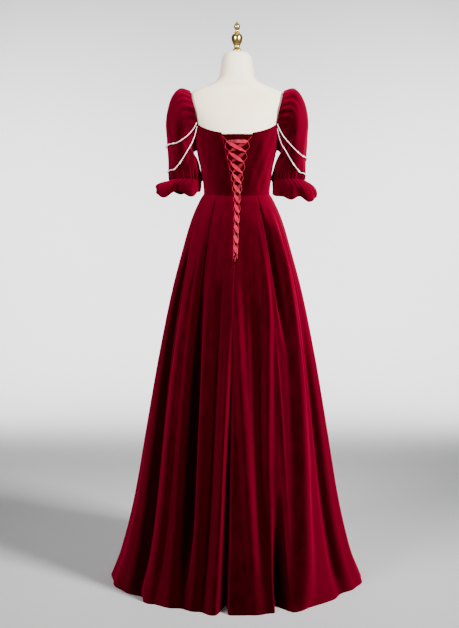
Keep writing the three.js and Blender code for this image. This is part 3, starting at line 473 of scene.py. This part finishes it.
OPENING_Z, OPENING_HALF = MM * np.array([
    # height, half width of the laced opening
    (980, 0.2), (986, 5), (994, 7.4), (1010, 8), (1100, 9.8), (1205, 14.5), (1270, 22.5), (1330, 34.5),
    (1389, 48),
]).T


def side_x(z):
    """Half the gown's width at height z."""
    drop = np.clip(1 - z / WAIST, 0, 1)
    return np.where(z >= WAIST, curve(z, FORM_Z, FORM_HALF) + SHELL, curve(drop, DROP, SKIRT_HALF))


def skirt_panel(name, edges, across):
    """One panel from the seam to the hem, between two edges that are angles by the share of the drop."""
    drop = np.concatenate([np.linspace(0, 0.06, 16), np.linspace(0.06, 1, 100)[1:]])[:, None]
    first, last = edges(drop)
    angle = first + (last - first) * np.linspace(0, 1, across)[None, :]
    drop = np.broadcast_to(drop, angle.shape)
    panel = cloth_wall(name, skirt_surface(angle, drop), -1, flat=True)
    # Painted shade: each point's fold depth as a share of VALLEY, read by the velvet to darken its colour
    # down in the folds.
    valley_shade = np.clip(fold_sum(angle, drop, FOLDS) / VALLEY, 0, 1)
    depth = panel.data.attributes.new("valley_shade", "FLOAT", "POINT")
    depth.data.foreach_set("value", np.tile(valley_shade.ravel(), 2))
    fit_piece(panel, VELVET, name.replace("panel_", ""))


def front_edges(gap):
    """The edges of a front piece: both side seams, each gap degrees in front of the side."""
    return lambda share: (np.full_like(share, 90 + gap), np.full_like(share, 270 - gap))


def back_edges(side):
    """The edges of a back panel: the slit or the centre-back seam, and the side seam."""
    def edges(drop):
        """The angle whose sine is the gap over half the width, from the middle line, and the side's."""
        z = waist_at(0) * (1 - drop)
        gap = np.where(z > SLIT_END, curve(z, OPENING_Z, OPENING_HALF), BACK_GAP)
        middle = back_seam(drop) + side * np.degrees(np.arcsin(gap / side_x(z)))
        return middle, side * np.full_like(drop, 90 - SIDE_GAP)
    return edges


skirt_panel("panel_skirt_front", front_edges(SIDE_GAP), 300)
skirt_panel("panel_skirt_back_left", back_edges(-1), 200)
skirt_panel("panel_skirt_back_right", back_edges(1), 200)


# The bodice: a front cut in one over the bust and two backs, all velvet. The backs stop at the edges
# of the opening, and a narrow allowance of each piece turns in behind the waist seam.
UNDERARM, BACK_NECK, FRONT_NECK, CORNER = 1.352, 1.389, 1.392, 1.424
BACK_CORNER, FRONT_CORNER, FRONT_DIP = 53, 127, 0.007
ALLOWANCE, ALLOWANCE_IN = 0.005, 0.0024
BODICE_GAP = 0.05  # half the side seam's gap, in degrees


def bodice_top(angle):
    """The top edge by angle: power curves that dip at the necklines and under the arm."""
    a = 180 - np.abs((angle + 360) % 360 - 180)
    behind = BACK_NECK + (CORNER - BACK_NECK) * np.clip(a / BACK_CORNER, 0, 1) ** 2.4
    arm_back = UNDERARM + (CORNER - UNDERARM) * np.clip((90 - a) / (90 - BACK_CORNER), 0, 1) ** 1.6
    arm_front = UNDERARM + (CORNER - UNDERARM) * np.clip((a - 90) / (FRONT_CORNER - 90), 0, 1) ** 1.6
    s = np.clip((180 - a) / (180 - FRONT_CORNER), 0, 1)
    front = FRONT_NECK + (CORNER - FRONT_NECK) * s ** 2.6 - FRONT_DIP * np.exp(-((s / 0.2) ** 2))
    return np.select([a <= BACK_CORNER, a <= 90, a <= FRONT_CORNER], [behind, arm_back, arm_front], front)


def bodice_surface(angle, share):
    """The form moved out by SHELL, from the seam to the top edge, with slight drag lines and ease."""
    low = waist_at(angle)
    z = low + (bodice_top(angle) - low) * share
    below = np.clip(-share, 0, 1) * (bodice_top(angle) - low)
    out = SHELL - ALLOWANCE_IN * ease(0, 0.3 * ALLOWANCE, below)
    drag = 0.0007 * np.sin(np.radians(angle * 11) + 38 * z) + 0.0005 * np.sin(np.radians(angle * 23) - 61 * z)
    drag = drag * ease(0, 0.2, share) * ease(1, 0.8, share)
    return form_surface(angle, np.maximum(z, low - ALLOWANCE), out + drag)


def bodice_panel(name, edges, across):
    """One bodice piece between two edges that are angles by share of its height."""
    share = np.concatenate([[-0.024, -0.012, -0.004], np.linspace(0.0006, 1, 70)])[:, None]
    first, last = edges(share)
    angle = first + (last - first) * np.linspace(0, 1, across)[None, :]
    panel = cloth_wall(name, bodice_surface(angle, np.broadcast_to(share, angle.shape)), 1)
    fit_piece(panel, VELVET, name.replace("panel_", ""))


def bodice_back_edges(side):
    """The edges of a back piece of the bodice: the opening's edge and the side seam."""
    def edges(share):
        """The angle whose sine is the opening's half width over half the gown's width, and the side's."""
        z = waist_at(0) + (BACK_NECK - waist_at(0)) * share
        gap = curve(z, OPENING_Z, OPENING_HALF)
        return side * np.degrees(np.arcsin(gap / side_x(z))), side * np.full_like(share, 90 - BODICE_GAP)
    return edges


bodice_panel("panel_bodice_front", front_edges(BODICE_GAP), 180)
bodice_panel("panel_bodice_back_left", bodice_back_edges(-1), 110)
bodice_panel("panel_bodice_back_right", bodice_back_edges(1), 110)


# The modesty panel: a strip of the same velvet that hangs behind the opening, from the neckline to
# below the end of the slit, deeper behind the skirt than behind the bodice.
PANEL_FACE, PANEL_DROP, PANEL_CLOTH, PANEL_HIDDEN = -0.0035, 0.003, 0.001, 0.015


def gown_surface(angle, z):
    """The gown's plain outer face without its small creases: bodice above the seam, skirt below."""
    seam = waist_at(angle)
    drop = np.clip(1 - z / seam, 0, 1)
    above = form_surface(angle, z, SHELL)
    return np.where((z >= seam)[..., None], above, skirt_surface(angle, drop, FOLDS))


def closure_angle(z):
    """The angle of the opening's middle at height z."""
    seam = waist_at(0)
    return np.where(z >= seam, 0, back_seam(np.clip(1 - z / seam, 0, 1)))


def beside_closure(x, z, high):
    """Points at x from the opening's middle, high above the gown's face along its outward direction."""
    def face(dx, dz):
        """The gown's face at these places, dx degrees round and dz up from them."""
        angle = closure_angle(z) + np.degrees(np.arcsin(x / side_x(z))) + dx
        return gown_surface(angle, z + dz)
    across = face(0.5, 0) - face(-0.5, 0)
    up = face(0, 0.014) - face(0, -0.014)
    out = np.cross(across, up)
    out /= np.linalg.norm(out, axis=-1, keepdims=True)
    return face(0, 0) + np.asarray(high)[..., None] * out


z = np.linspace(SLIT_END - 0.014, BACK_NECK - 0.001, 90)[:, None]
half = curve(z, OPENING_Z, OPENING_HALF) + PANEL_HIDDEN
x = half * np.linspace(-1, 1, 40)[None, :]
z = np.broadcast_to(z, x.shape)
deep = PANEL_FACE - PANEL_DROP * ease(0, 0.04, waist_at(0) - z) + 0.0004 * np.sin(300 * x + 25 * z)
panel = cloth_wall("panel_modesty", beside_closure(x, z, deep), 1, thick=PANEL_CLOTH)
fit_piece(panel, VELVET, "modesty_panel")


# The puff sleeves: velvet gathered into the armhole and over the shoulder, full at the elbow and drawn
# in by an elastic above the cuff. They stand off the arm side of the form.
ARMHOLE_GAP = 0.0004
NECK_TURN = 106
SLEEVE_Y = 0.003
ARMHOLE_MIDDLE = (0.139, SLEEVE_Y, 1.449)
GATHERS = 10
NECK_SHARE, NECK_X, NECK_BEHIND, NECK_BEFORE, NECK_Z = np.array([
    # share from the shoulder's top to the corner, x, distance behind, distance in front, height
    (0, 150, 0, 0, 1545), (0.25, 146, -31, 30, 1530), (0.5, 140, -53, 50, 1501), (0.75, 131, -66, 68, 1464),
]).T * np.array([[1], [MM], [MM], [MM], [MM]])
OUT_X, OUT_Z, IN_X, IN_Z, DEEP = MM * np.array([
    # outermost x and height, innermost x and height, half depth
    (186, 1547, 136, 1350, 80), (214, 1514, 138, 1344, 84), (229, 1450, 134, 1336, 80),
    (226, 1388, 125, 1323, 73), (222, 1331, 118, 1306, 67), (219, 1286, 114, 1281, 60),
    (214, 1258, 112, 1256, 47),
]).T


def armhole(u):
    """The sleeve's first edge: under the arm it follows the bodice, over the shoulder its own table."""
    turn = np.abs(u)
    corner = np.where(u >= 0, BACK_CORNER, FRONT_CORNER)
    angle = corner + (90 - corner) * np.clip((turn - NECK_TURN) / (180 - NECK_TURN), 0, 1)
    under = form_surface(angle, bodice_top(angle) + ARMHOLE_GAP, SHELL)
    shares = np.append(NECK_SHARE, 1)
    over = np.empty_like(under)
    for chosen, side, at in ((u >= 0, NECK_BEHIND, BACK_CORNER), (u < 0, NECK_BEFORE, FRONT_CORNER)):
        end = form_surface(np.array(float(at)), np.array(CORNER + ARMHOLE_GAP), SHELL)
        for k, column in enumerate((NECK_X, side, NECK_Z)):
            line = curve(turn / NECK_TURN, shares, np.append(column, end[k]))
            over[..., k] = np.where(chosen, line, over[..., k])
    return np.where((turn >= NECK_TURN)[..., None], under, over)


def through(rings, share):
    """A smooth curve through rings: cubic in each gap, each slope half the step between its neighbours."""
    first = 2 * rings[:1] - rings[1:2]
    rings = np.concatenate([first, rings, rings[-1:]])
    at = np.clip(share, 0, 1) * (len(rings) - 3)
    i = np.minimum(at.astype(int), len(rings) - 4)
    s = (at - i)[:, None, None]
    a, b, c, d = (rings[i + k] for k in range(4))
    m, e = (c - a) / 2, (d - b) / 2
    return b + s * (m + s * (3 * (c - b) - 2 * m - e + s * (m + e - 2 * (c - b))))


def uneven(u, count, seed):
    """A cosine of about count turns round the sleeve, its spacing and height shifted by a few slow sines."""
    pick = np.random.default_rng(seed)
    turn = np.radians(u)
    wander = sum(pick.uniform(0.1, 0.35) * np.sin(k * turn + pick.uniform(0, 6.28)) for k in (1, 2, 3, 4))
    height = 1 + sum(pick.uniform(0.1, 0.3) * np.sin(k * turn + pick.uniform(0, 6.28)) for k in (2, 3, 5))
    return height * np.cos(count * turn + wander * 2)


def sleeve_surface(u, share, seed, fine=1.0):
    """Rings from armhole to elastic, moved in and out by gathers that fade from both ends."""
    c, s = np.cos(np.radians(u)), np.sin(np.radians(u))
    middle_x, middle_z = (OUT_X + IN_X) / 2, (OUT_Z + IN_Z) / 2
    rings = np.stack([
        middle_x[:, None] + c * ((OUT_X - IN_X) / 2)[:, None],
        SLEEVE_Y - DEEP[:, None] * s,
        middle_z[:, None] + c * ((OUT_Z - IN_Z) / 2)[:, None]], axis=-1)
    rings = np.concatenate([armhole((u + 180) % 360 - 180)[None], rings])
    centres = np.stack([middle_x, np.full_like(middle_x, SLEEVE_Y), middle_z], axis=-1)
    centres = np.concatenate([[ARMHOLE_MIDDLE], centres])[:, None, :]
    points, centre = through(rings, share), through(centres, share)
    t = share[:, None]
    upper = 0.5 + 0.5 * c
    cap = ease(0, 0.12, t) * (1 - ease(0.15, 0.5, t)) * upper
    low = ease(0.72, 1, t)
    wave = (0.0012 * cap + 0.0026 * low) * np.cos(np.radians(GATHERS * u))
    wave = wave + fine * (
        0.0022 * cap * uneven(u + 60 * t, 7, seed + 4)
        + 0.0014 * ease(0, 0.05, t) * (1 - ease(0.08, 0.34, t)) * uneven(u, 24, seed) * (0.3 + 0.7 * upper)
        + 0.0016 * ease(0.8, 0.96, t) * uneven(u, 27, seed + 1)
        + 0.0030 * ease(0.15, 0.45, t) * (1 - ease(0.7, 0.95, t)) * uneven(u + 40 * t, 4, seed + 2)
        + 0.0016 * ease(0.2, 0.5, t) * (1 - ease(0.6, 0.9, t)) * uneven(u - 70 * t, 7, seed + 3))
    away = points - centre
    return points + wave[..., None] * away / np.linalg.norm(away, axis=-1, keepdims=True)


def dress_side(side, grid):
    """The +X side's points, mirrored for the left."""
    return grid * np.array([side, 1, 1])


for side, name in ((-1, "left"), (1, "right")):
    u = np.linspace(-180, 180, 240, endpoint=False)
    share = np.concatenate([np.linspace(0, 0.1, 14), np.linspace(0.1, 1, 76)[1:]])
    grid = dress_side(side, sleeve_surface(u, share, 20 + side))
    sleeve = cloth_wall(f"panel_sleeve_{name}", grid, side, wrap=True)
    fit_piece(sleeve, VELVET, f"sleeve_{name}")


# The cuff ruffles: a flounce of velvet, gathered and sewn on at the elastic of each sleeve. It springs
# out below the elastic, and its hem stands out in waves.
RUFFLE_OUT, RUFFLE_IN, RUFFLE_DEEP = 0.253, 0.114, 0.063
RUFFLE_CLOTH, RUFFLE_GAP = 0.0015, 0.0006
RUFFLE_HEMS = {
    # sleeve's own angle, how far the hem stands out as a share of the width, height in millimetres
    "left": [
        (0, 0.1, 1239), (28, 0.14, 1209), (55, 0.16, 1195), (86, -0.14, 1219), (119, 0.14, 1197),
        (150, 0, 1219), (180, 0, 1244), (212, 0.06, 1224), (240, -0.08, 1231), (270, 0.1, 1220),
        (300, -0.07, 1231), (328, 0.1, 1222), (360, 0.1, 1239),
    ],
    "right": [
        (0, 0.04, 1216), (24, 0.09, 1202), (58, 0.15, 1181), (79, -0.1, 1199), (100, 0.09, 1187),
        (126, -0.05, 1199), (150, 0.05, 1203), (180, 0, 1222), (208, 0.06, 1213), (238, -0.08, 1220),
        (266, 0.1, 1210), (296, -0.07, 1220), (324, 0.09, 1210), (360, 0.04, 1216),
    ],
}


def ruffle_surface(u, share, rows, seed):
    """Ellipses that spring out from the elastic. Towards the hem they are stretched to each row's share and
    height, with small gathers that fade out and small ripples that grow."""
    c, s = np.cos(np.radians(u)), np.sin(np.radians(u))
    t = share[:, None]
    at, stands, heights = np.array(rows).T
    flare = 1 - (1 - t) ** 2.6
    out = OUT_X[-1] + (RUFFLE_OUT - OUT_X[-1]) * flare
    inn = IN_X[-1] + (RUFFLE_IN - IN_X[-1]) * flare
    deep = DEEP[-1] + (RUFFLE_DEEP - DEEP[-1]) * flare
    size = 0.35 + 0.65 * (0.5 + 0.5 * c)
    small = 0.022 * uneven(u, 27, seed) * (1 - ease(0.1, 0.8, t))
    small = small + 0.02 * uneven(u, 15, seed + 1) * ease(0.3, 1, t)
    r = 1 + t * curve(u % 360, at, stands) + small * size
    top = (OUT_Z[-1] + IN_Z[-1]) / 2 - RUFFLE_GAP + c * (OUT_Z[-1] - IN_Z[-1]) / 2
    hem = MM * curve(u % 360, at, heights)
    x = (out + inn) / 2 + c * (out - inn) / 2 * r
    return np.stack(np.broadcast_arrays(x, SLEEVE_Y - deep * s * r, top + (hem - top) * t), axis=-1)


for side, name in ((-1, "left"), (1, "right")):
    u = np.linspace(-180, 180, 320, endpoint=False)
    grid = dress_side(side, ruffle_surface(u, np.linspace(0, 1, 28), RUFFLE_HEMS[name], 40 + side))
    ruffle = cloth_wall(f"panel_cuff_{name}", grid, side, thick=RUFFLE_CLOTH, wrap=True)
    fit_piece(ruffle, VELVET, f"cuff_ruffle_{name}")


# The lacing: thin satin cord sewn as loops along both edges of the opening, and one satin ribbon
# threaded through their ends from a bar at the neckline down to a short tail below the last loop.
LEVELS, FIRST_LEVEL, LEVEL_STEP = 12, 1.364, 0.0321
TURN_Z, TURN_HALF = MM * np.array([
    # height, half the distance between the ribbon's turns
    (1011, 6.2), (1140, 7.4), (1204, 9.8), (1236, 12.4), (1268, 16), (1300, 21), (1332, 27), (1364, 34),
]).T
RIBBON_WIDE, RIBBON_PINCHED, RIBBON_THICK = 0.011, 0.0024, 0.0006
RIBBON_SECTION = np.array([
    # share of half the width, share of half the thickness
    (-1, -0.4), (-0.5, -1), (0, -1.15), (0.5, -1), (1, -0.4),
    (1, 0.4), (0.5, 1), (0, 1.15), (-0.5, 1), (-1, 0.4),
])
UNDER, CORD_SEWN, CORD_HIGH, OVER = -0.0024, -0.0011, -0.0005, 0.0015
CORD_R, CORD_INSET, CORD_REACH, LOOP_HALF, TAIL = 0.0008, 0.00045, 0.0034, 0.0046, 0.022


def satin():
    """Coral satin: fine threads across the piece as a wave bump, and a painted shade that darkens it where
    it runs under a crossing.
    """
    material, shader, tree = new_material("satin")
    along = node(tree, "ShaderNodeUVMap", uv_map="UVMap").outputs["UV"]
    thread = node(tree, "ShaderNodeTexWave", {
        "Vector": along, "Scale": 900.0, "Distortion": 0.8}, bands_direction="X")
    place = node(tree, "ShaderNodeTexCoord").outputs["Object"]
    shade = node(tree, "ShaderNodeTexNoise", {"Vector": place, "Scale": 90.0, "Detail": 3.0})
    # Painted shade: the colour darkens where the ribbon runs under a crossing.
    under = node(tree, "ShaderNodeAttribute", attribute_name="under").outputs["Fac"]
    colour = ramp(tree, reckon(tree, "MULTIPLY_ADD", under, -0.45, shade.outputs["Fac"]), [
        (0.0, (0.1, 0.0, 0.004)), (0.35, (0.25, 0.0, 0.014)), (0.7, (0.42, 0.001, 0.03))])
    tree.links.new(colour, shader.inputs["Base Color"])
    bump = node(tree, "ShaderNodeBump", {
        "Height": thread.outputs["Fac"], "Strength": 0.15, "Distance": 0.0002})
    tree.links.new(bump.outputs["Normal"], shader.inputs["Normal"])
    shader.inputs["Roughness"].default_value = 0.4
    shader.inputs["Specular IOR Level"].default_value = 0.25
    return material


SATIN = satin()


def ribbon_width(away, full):
    """Pinched at a loop, and eased to the whole width at full, in shares of a crossing away from it."""
    return RIBBON_PINCHED + (RIBBON_WIDE - RIBBON_PINCHED) * ease(0, full, away)


def lace_stations():
    """The ribbon's route as rows of x, z, height above the gown and width: tail, strand, bar, strand, end."""
    level = FIRST_LEVEL - LEVEL_STEP * np.arange(LEVELS)
    turn = curve(level, TURN_Z, TURN_HALF)

    def strand(at):
        """Straight lines from turn to turn down one strand, which changes sides at each level."""
        rows = []
        for i in range(LEVELS - 1):
            high = OVER if at < 0 else UNDER
            for s in np.linspace(0, 1, 13):
                x = at * (turn[i] - s * (turn[i + 1] + turn[i]))
                z = level[i] + s * (level[i + 1] - level[i])
                rows.append((x, z, high, ribbon_width(min(s, 1 - s), 0.32)))
            at = -at
        return rows, at * turn[-1]

    left, left_x = strand(-1)
    right, right_x = strand(1)
    last = level[-1]
    tail = [
        (-0.001, last - TAIL, UNDER, 0.004), (0, last - TAIL / 2, UNDER, 0.005),
        (0.6 * left_x, last - 0.004, UNDER, 0.004), (left_x, last, UNDER, RIBBON_PINCHED)]
    bar = []
    for s in np.linspace(-1, 1, 17):
        high = UNDER + (OVER - UNDER) * ease(-0.35, 0.35, s)
        bar.append((s * turn[0], FIRST_LEVEL, high, ribbon_width(1 - abs(s), 0.3)))
    end = [(right_x, last, OVER, RIBBON_PINCHED), (0.5 * right_x, last - 0.004, OVER, 0.004)]
    return np.array([*tail, *left[::-1], *bar, *right, *end])


def flat_ribbon(path, up, wide, thick):
    """A ribbon: a rounded flat section of the given widths carried along a path, its face turned outwards."""
    forward = np.gradient(path, axis=0)
    forward /= np.linalg.norm(forward, axis=1, keepdims=True)
    wide_way = up - forward * np.sum(up * forward, axis=1, keepdims=True)
    wide_way /= np.linalg.norm(wide_way, axis=1, keepdims=True)
    thick_way = np.cross(forward, wide_way)
    a, b = RIBBON_SECTION.T
    ring = path[:, None] + wide[:, None, None] / 2 * a[None, :, None] * wide_way[:, None]
    ring = ring + thick / 2 * b[None, :, None] * thick_way[:, None]
    run = np.concatenate([[0], np.cumsum(np.linalg.norm(np.diff(path, axis=0), axis=1))])
    uv = np.stack(np.broadcast_arrays(run[:, None], a[None, :] * 0.005), -1)
    return ring, uv


def closed_rod(name, rings, uv):
    """A rod from rings of points along it, each end closed by a fan to the middle of its ring."""
    return capped_tube(name, rings, [rings[0].mean(axis=0), rings[-1].mean(axis=0)], uv)


stations = lace_stations()
keep = np.concatenate([[True], np.linalg.norm(np.diff(stations[:, :3], axis=0), axis=1) > 1e-6])
stations = stations[keep]
path = beside_closure(*stations[:, :3].T)
up = beside_closure(stations[:, 0], stations[:, 1] + 0.008, stations[:, 2])
up = up - beside_closure(stations[:, 0], stations[:, 1] - 0.008, stations[:, 2])
ribbon_ring, ribbon_uv = flat_ribbon(path, up, stations[:, 3], RIBBON_THICK)
ribbon = closed_rod("ribbon", ribbon_ring, ribbon_uv)
# Painted shade: 0 where the ribbon lies over, 1 where it runs under, read by the satin to darken it there.
low = np.repeat((OVER - stations[:, 2]) / (OVER - UNDER), ribbon_ring.shape[1])
shade = ribbon.data.attributes.new("under", "FLOAT", "POINT")
shade.data.foreach_set("value", np.append(low, low[[0, -1]]))
fit_piece(ribbon, SATIN, "lace")


def round_rod(path, radius, sides):
    """Rings of a round cord, each square to the path, with the same corner always nearest the body."""
    forward = np.gradient(path, axis=0)
    forward /= np.linalg.norm(forward, axis=1, keepdims=True)
    across = np.cross(np.array([0.0, 1.0, 0.0]), forward)
    across /= np.maximum(np.linalg.norm(across, axis=1, keepdims=True), 1e-9)
    other = np.cross(forward, across)
    turn = 2 * np.pi * np.arange(sides) / sides
    circle = np.cos(turn)[None, :, None] * across[:, None] + np.sin(turn)[None, :, None] * other[:, None]
    ring = path[:, None] + radius * circle
    run = np.concatenate([[0], np.cumsum(np.linalg.norm(np.diff(path, axis=0), axis=1))])
    return ring, np.stack(np.broadcast_arrays(run[:, None], turn[None, :] * radius), -1)


def loop_route(side):
    """The cord's route: from the edge out to each loop's end and back, smoothed by a cubic curve."""
    def edge(z):
        """The middle of a cord that is sewn just inside the opening's edge."""
        return float(curve(np.array(z), OPENING_Z, OPENING_HALF)) - CORD_INSET - CORD_R

    rows = []
    for i in range(LEVELS):
        z = FIRST_LEVEL - LEVEL_STEP * i
        turn = float(curve(np.array(z), TURN_Z, TURN_HALF))
        knee = min(turn + 0.0004, edge(z + LOOP_HALF))
        rows += [
            (edge(z + LEVEL_STEP / 2), z + LEVEL_STEP / 2, CORD_SEWN), (knee, z + LOOP_HALF, CORD_HIGH),
            (turn - CORD_REACH, z, CORD_HIGH), (knee, z - LOOP_HALF, CORD_HIGH)]
    end = FIRST_LEVEL - LEVEL_STEP * (LEVELS - 0.6)
    rows.append((edge(end), end, CORD_SEWN))
    rows = np.array(rows)
    at = np.linspace(0, len(rows) - 1, 6 * (len(rows) - 1) + 1)
    x, z, high = (curve(at, np.arange(len(rows)), rows[:, k]) for k in range(3))
    return beside_closure(side * x, z, high)


for side, name in ((-1, "left"), (1, "right")):
    ring, uv = round_rod(loop_route(side), CORD_R, 8)
    cord = closed_rod(f"loops_{name}", ring, uv)
    fit_piece(cord, SATIN, f"loop_cord_{name}")


# The pearl strands: seed pearls on thread, two to a sleeve, hung from the neckline's corners round
# the outside of the sleeve, with a few larger pearls among them.
PEARL_R, LARGE_R, PEARL_CLEAR = 0.0015, 0.0026, 0.0034
LARGE_AT, LARGE_REACH = (0.29, 0.36, 0.47, 0.53, 0.64, 0.71), 0.009  # shares of the strand
STRAND_START, STRAND_SAG = 0.123, 1.65
STRANDS = {
    # side, height at the corner and at the lowest point, how far across the sleeve that lies
    "left_upper": (-1, 1.434, 1.364, 0.072), "left_lower": (-1, 1.427, 1.284, 0.080),
    "right_upper": (1, 1.431, 1.325, 0.090), "right_lower": (1, 1.421, 1.275, 0.081),
}


def plain_sleeve(u, share):
    """The sleeve without its fine gathers at single places (u, share)."""
    return sleeve_surface(np.atleast_1d(float(u)), np.atleast_1d(float(share)), 0, fine=0)[0, 0]


def on_sleeve(x, z, place):
    """Newton's steps to the place on the sleeve whose x and z are the ones given."""
    u, share = place
    for _ in range(12):
        p = plain_sleeve(u, share)
        du = (plain_sleeve(u + 0.5, share) - p) / 0.5
        ds = (plain_sleeve(u, share + 0.005) - p) / 0.005
        det = du[0] * ds[2] - ds[0] * du[2]
        u += ((x - p[0]) * ds[2] - (z - p[2]) * ds[0]) / det
        share = max(0.01, share + ((z - p[2]) * du[0] - (x - p[0]) * du[2]) / det)
    return u, share


def share_at_height(u, z):
    """Halving steps to the share where the sleeve's angle u reaches down to z."""
    near, far = 0.2, 1.0
    for _ in range(30):
        middle = (near + far) / 2
        near, far = (middle, far) if plain_sleeve(u, middle)[2] > z else (near, middle)
    return near


def strand_route(side, top, low, reach):
    """Places on the sleeve from the back corner to the lowest point, then mirrored to the front corner."""
    places, place = [], (NECK_TURN + 4, 0.05)
    for s in np.linspace(0.03, 0.94, 9):
        place = on_sleeve(STRAND_START + reach * s, low + (top - low) * (1 - s) ** STRAND_SAG, place)
        places.append(place)
    last = plain_sleeve(*place)[2]
    for s in (0.75, 0.5, 0.25, 0):
        u = place[0] * s
        places.append((u, share_at_height(u, low + (last - low) * s * s)))
    places += [(-u, share) for u, share in places[-2::-1]]
    points = []
    for u, share in places:
        p = plain_sleeve(u, share)
        across = plain_sleeve(u + 1, share) - plain_sleeve(u - 1, share)
        down = plain_sleeve(u, share + 0.01) - plain_sleeve(u, share - 0.01)
        out = np.cross(across, down)
        points.append((p + PEARL_CLEAR * out / np.linalg.norm(out)) * (side, 1, 1))
    return np.array(points)


def bead_string(name, route):
    """Balls set almost touching along the route, larger ones at six places. Also the route and its length."""
    knots = np.arange(len(route))
    fine = np.linspace(0, len(route) - 1, 2000)
    path = np.stack([curve(fine, knots, route[:, k]) for k in range(3)], -1)
    run = np.concatenate([[0], np.cumsum(np.linalg.norm(np.diff(path, axis=0), axis=1))])
    centres, sizes, at = [], [], PEARL_R
    while at < run[-1] - PEARL_R:
        share = at / run[-1]
        large = any(abs(share - spot) < LARGE_REACH for spot in LARGE_AT)
        size = LARGE_R if large else PEARL_R
        at += size
        centres.append([np.interp(at, run, path[:, k]) for k in range(3)])
        sizes.append(size)
        at += size * 1.02
    centres, sizes = np.array(centres), np.array(sizes)
    tilt = np.linspace(0, np.pi, 9)[1:-1]
    turn = np.linspace(0, 2 * np.pi, 12, endpoint=False)
    flat = np.sin(tilt)[:, None]
    tall = -np.cos(tilt)[:, None] * np.ones_like(turn)
    rings = np.stack([flat * np.cos(turn), flat * np.sin(turn), tall], -1)
    ball = np.concatenate([rings.reshape(-1, 3), [[0, 0, -1], [0, 0, 1]]])
    points = centres[:, None] + sizes[:, None, None] * ball[None]
    shift = (np.arange(len(centres)) * len(ball))[:, None, None]
    groups = [(faces[None] + shift).reshape(-1, faces.shape[1]) for faces in tube_faces(*rings.shape[:2])]
    beads = put_mesh(name, points, groups, crease=60)
    return beads, np.concatenate([path[:-1:40], path[-1:]]), float(run[-1])


def pearl():
    """Imitation pearl: an off-white body with faint warm clouds under a clear coat."""
    material, shader, tree = new_material("pearl")
    mottled(tree, shader, 260.0, 2.0, 0.3, 0.7, (1.0, 0.9, 0.86), (1.0, 0.98, 0.95))
    shader.inputs["Roughness"].default_value = 0.28
    shader.inputs["Coat Weight"].default_value = 0.7
    shader.inputs["Coat Roughness"].default_value = 0.12
    return material


PEARL = pearl()
for name, strand in STRANDS.items():
    beads, path, length = bead_string(f"beads_{name}", strand_route(*strand))
    fit_piece(beads, PEARL, f"pearls_{name}")


# The room: a plain pale floor that turns up into a backdrop, soft lamps, and the camera that looks
# level at the back of the gown.
def backdrop():
    """A floor, a quarter-round and a wall as one sheet: a profile in y and z carried along x."""
    bend = np.radians(np.linspace(0, 90, 24))
    y = np.concatenate([[-9, 0], 6.0 + 1.2 * np.sin(bend), [7.2]])
    z = np.concatenate([[0, 0], 1.2 - 1.2 * np.cos(bend), [9]])
    x = np.linspace(-9, 9, 3)
    grid = np.stack(np.broadcast_arrays(x[None, :], y[:, None], z[:, None]), axis=-1)
    return put_mesh("backdrop", grid, [grid_faces(len(y), 3, False)], crease=80)


floor = backdrop()
material, shader, tree = new_material("backdrop")
mottled(tree, shader, 220.0, 2.0, 0.3, 0.7, (0.8, 0.8, 0.8), (0.84, 0.84, 0.84))
shader.inputs["Roughness"].default_value = 0.9
floor.data.materials.append(material)


def soft_lamp(name, place, target, size, watts, spread=180):
    """A square lamp that faces its target and lights the spread, in degrees, in front of it."""
    lamp = bpy.data.lights.new(name, "AREA")
    lamp.size, lamp.energy, lamp.spread = size, watts, np.radians(spread)
    made = bpy.data.objects.new(name, lamp)
    made.location = place
    made.rotation_euler = (Vector(target) - Vector(place)).to_track_quat("-Z", "Y").to_euler()
    bpy.context.scene.collection.objects.link(made)


soft_lamp("window", (2.5, -2.4, 2.3), (0, 0, 1.35), 0.8, 72, 75)
soft_lamp("fill", (-2.2, -3.0, 2.2), (0, 0, 1.5), 1.4, 25, 60)
soft_lamp("ceiling", (0, -0.2, 3.6), (0, 0, 0.8), 2.0, 10)
soft_lamp("wall_right", (4.2, 3.4, 3.2), (0.6, 7.2, 1.2), 1.8, 230, 100)
soft_lamp("wall_left", (-4.2, 3.4, 3.2), (-0.6, 7.2, 1.2), 1.8, 210, 100)

world = bpy.data.worlds.new("room")
world.use_nodes = True
world.node_tree.nodes["Background"].inputs["Color"].default_value = (0.9, 0.93, 1.0, 1)
world.node_tree.nodes["Background"].inputs["Strength"].default_value = 0.08
bpy.context.scene.world = world

eye = bpy.data.cameras.new("camera")
eye.sensor_width, eye.lens = 36, 55.5
camera = bpy.data.objects.new("camera", eye)
camera.location = (-0.024, -3.1, 0.829)
camera.rotation_euler = (np.pi / 2, 0, 0)
bpy.context.scene.collection.objects.link(camera)
bpy.context.scene.camera = camera
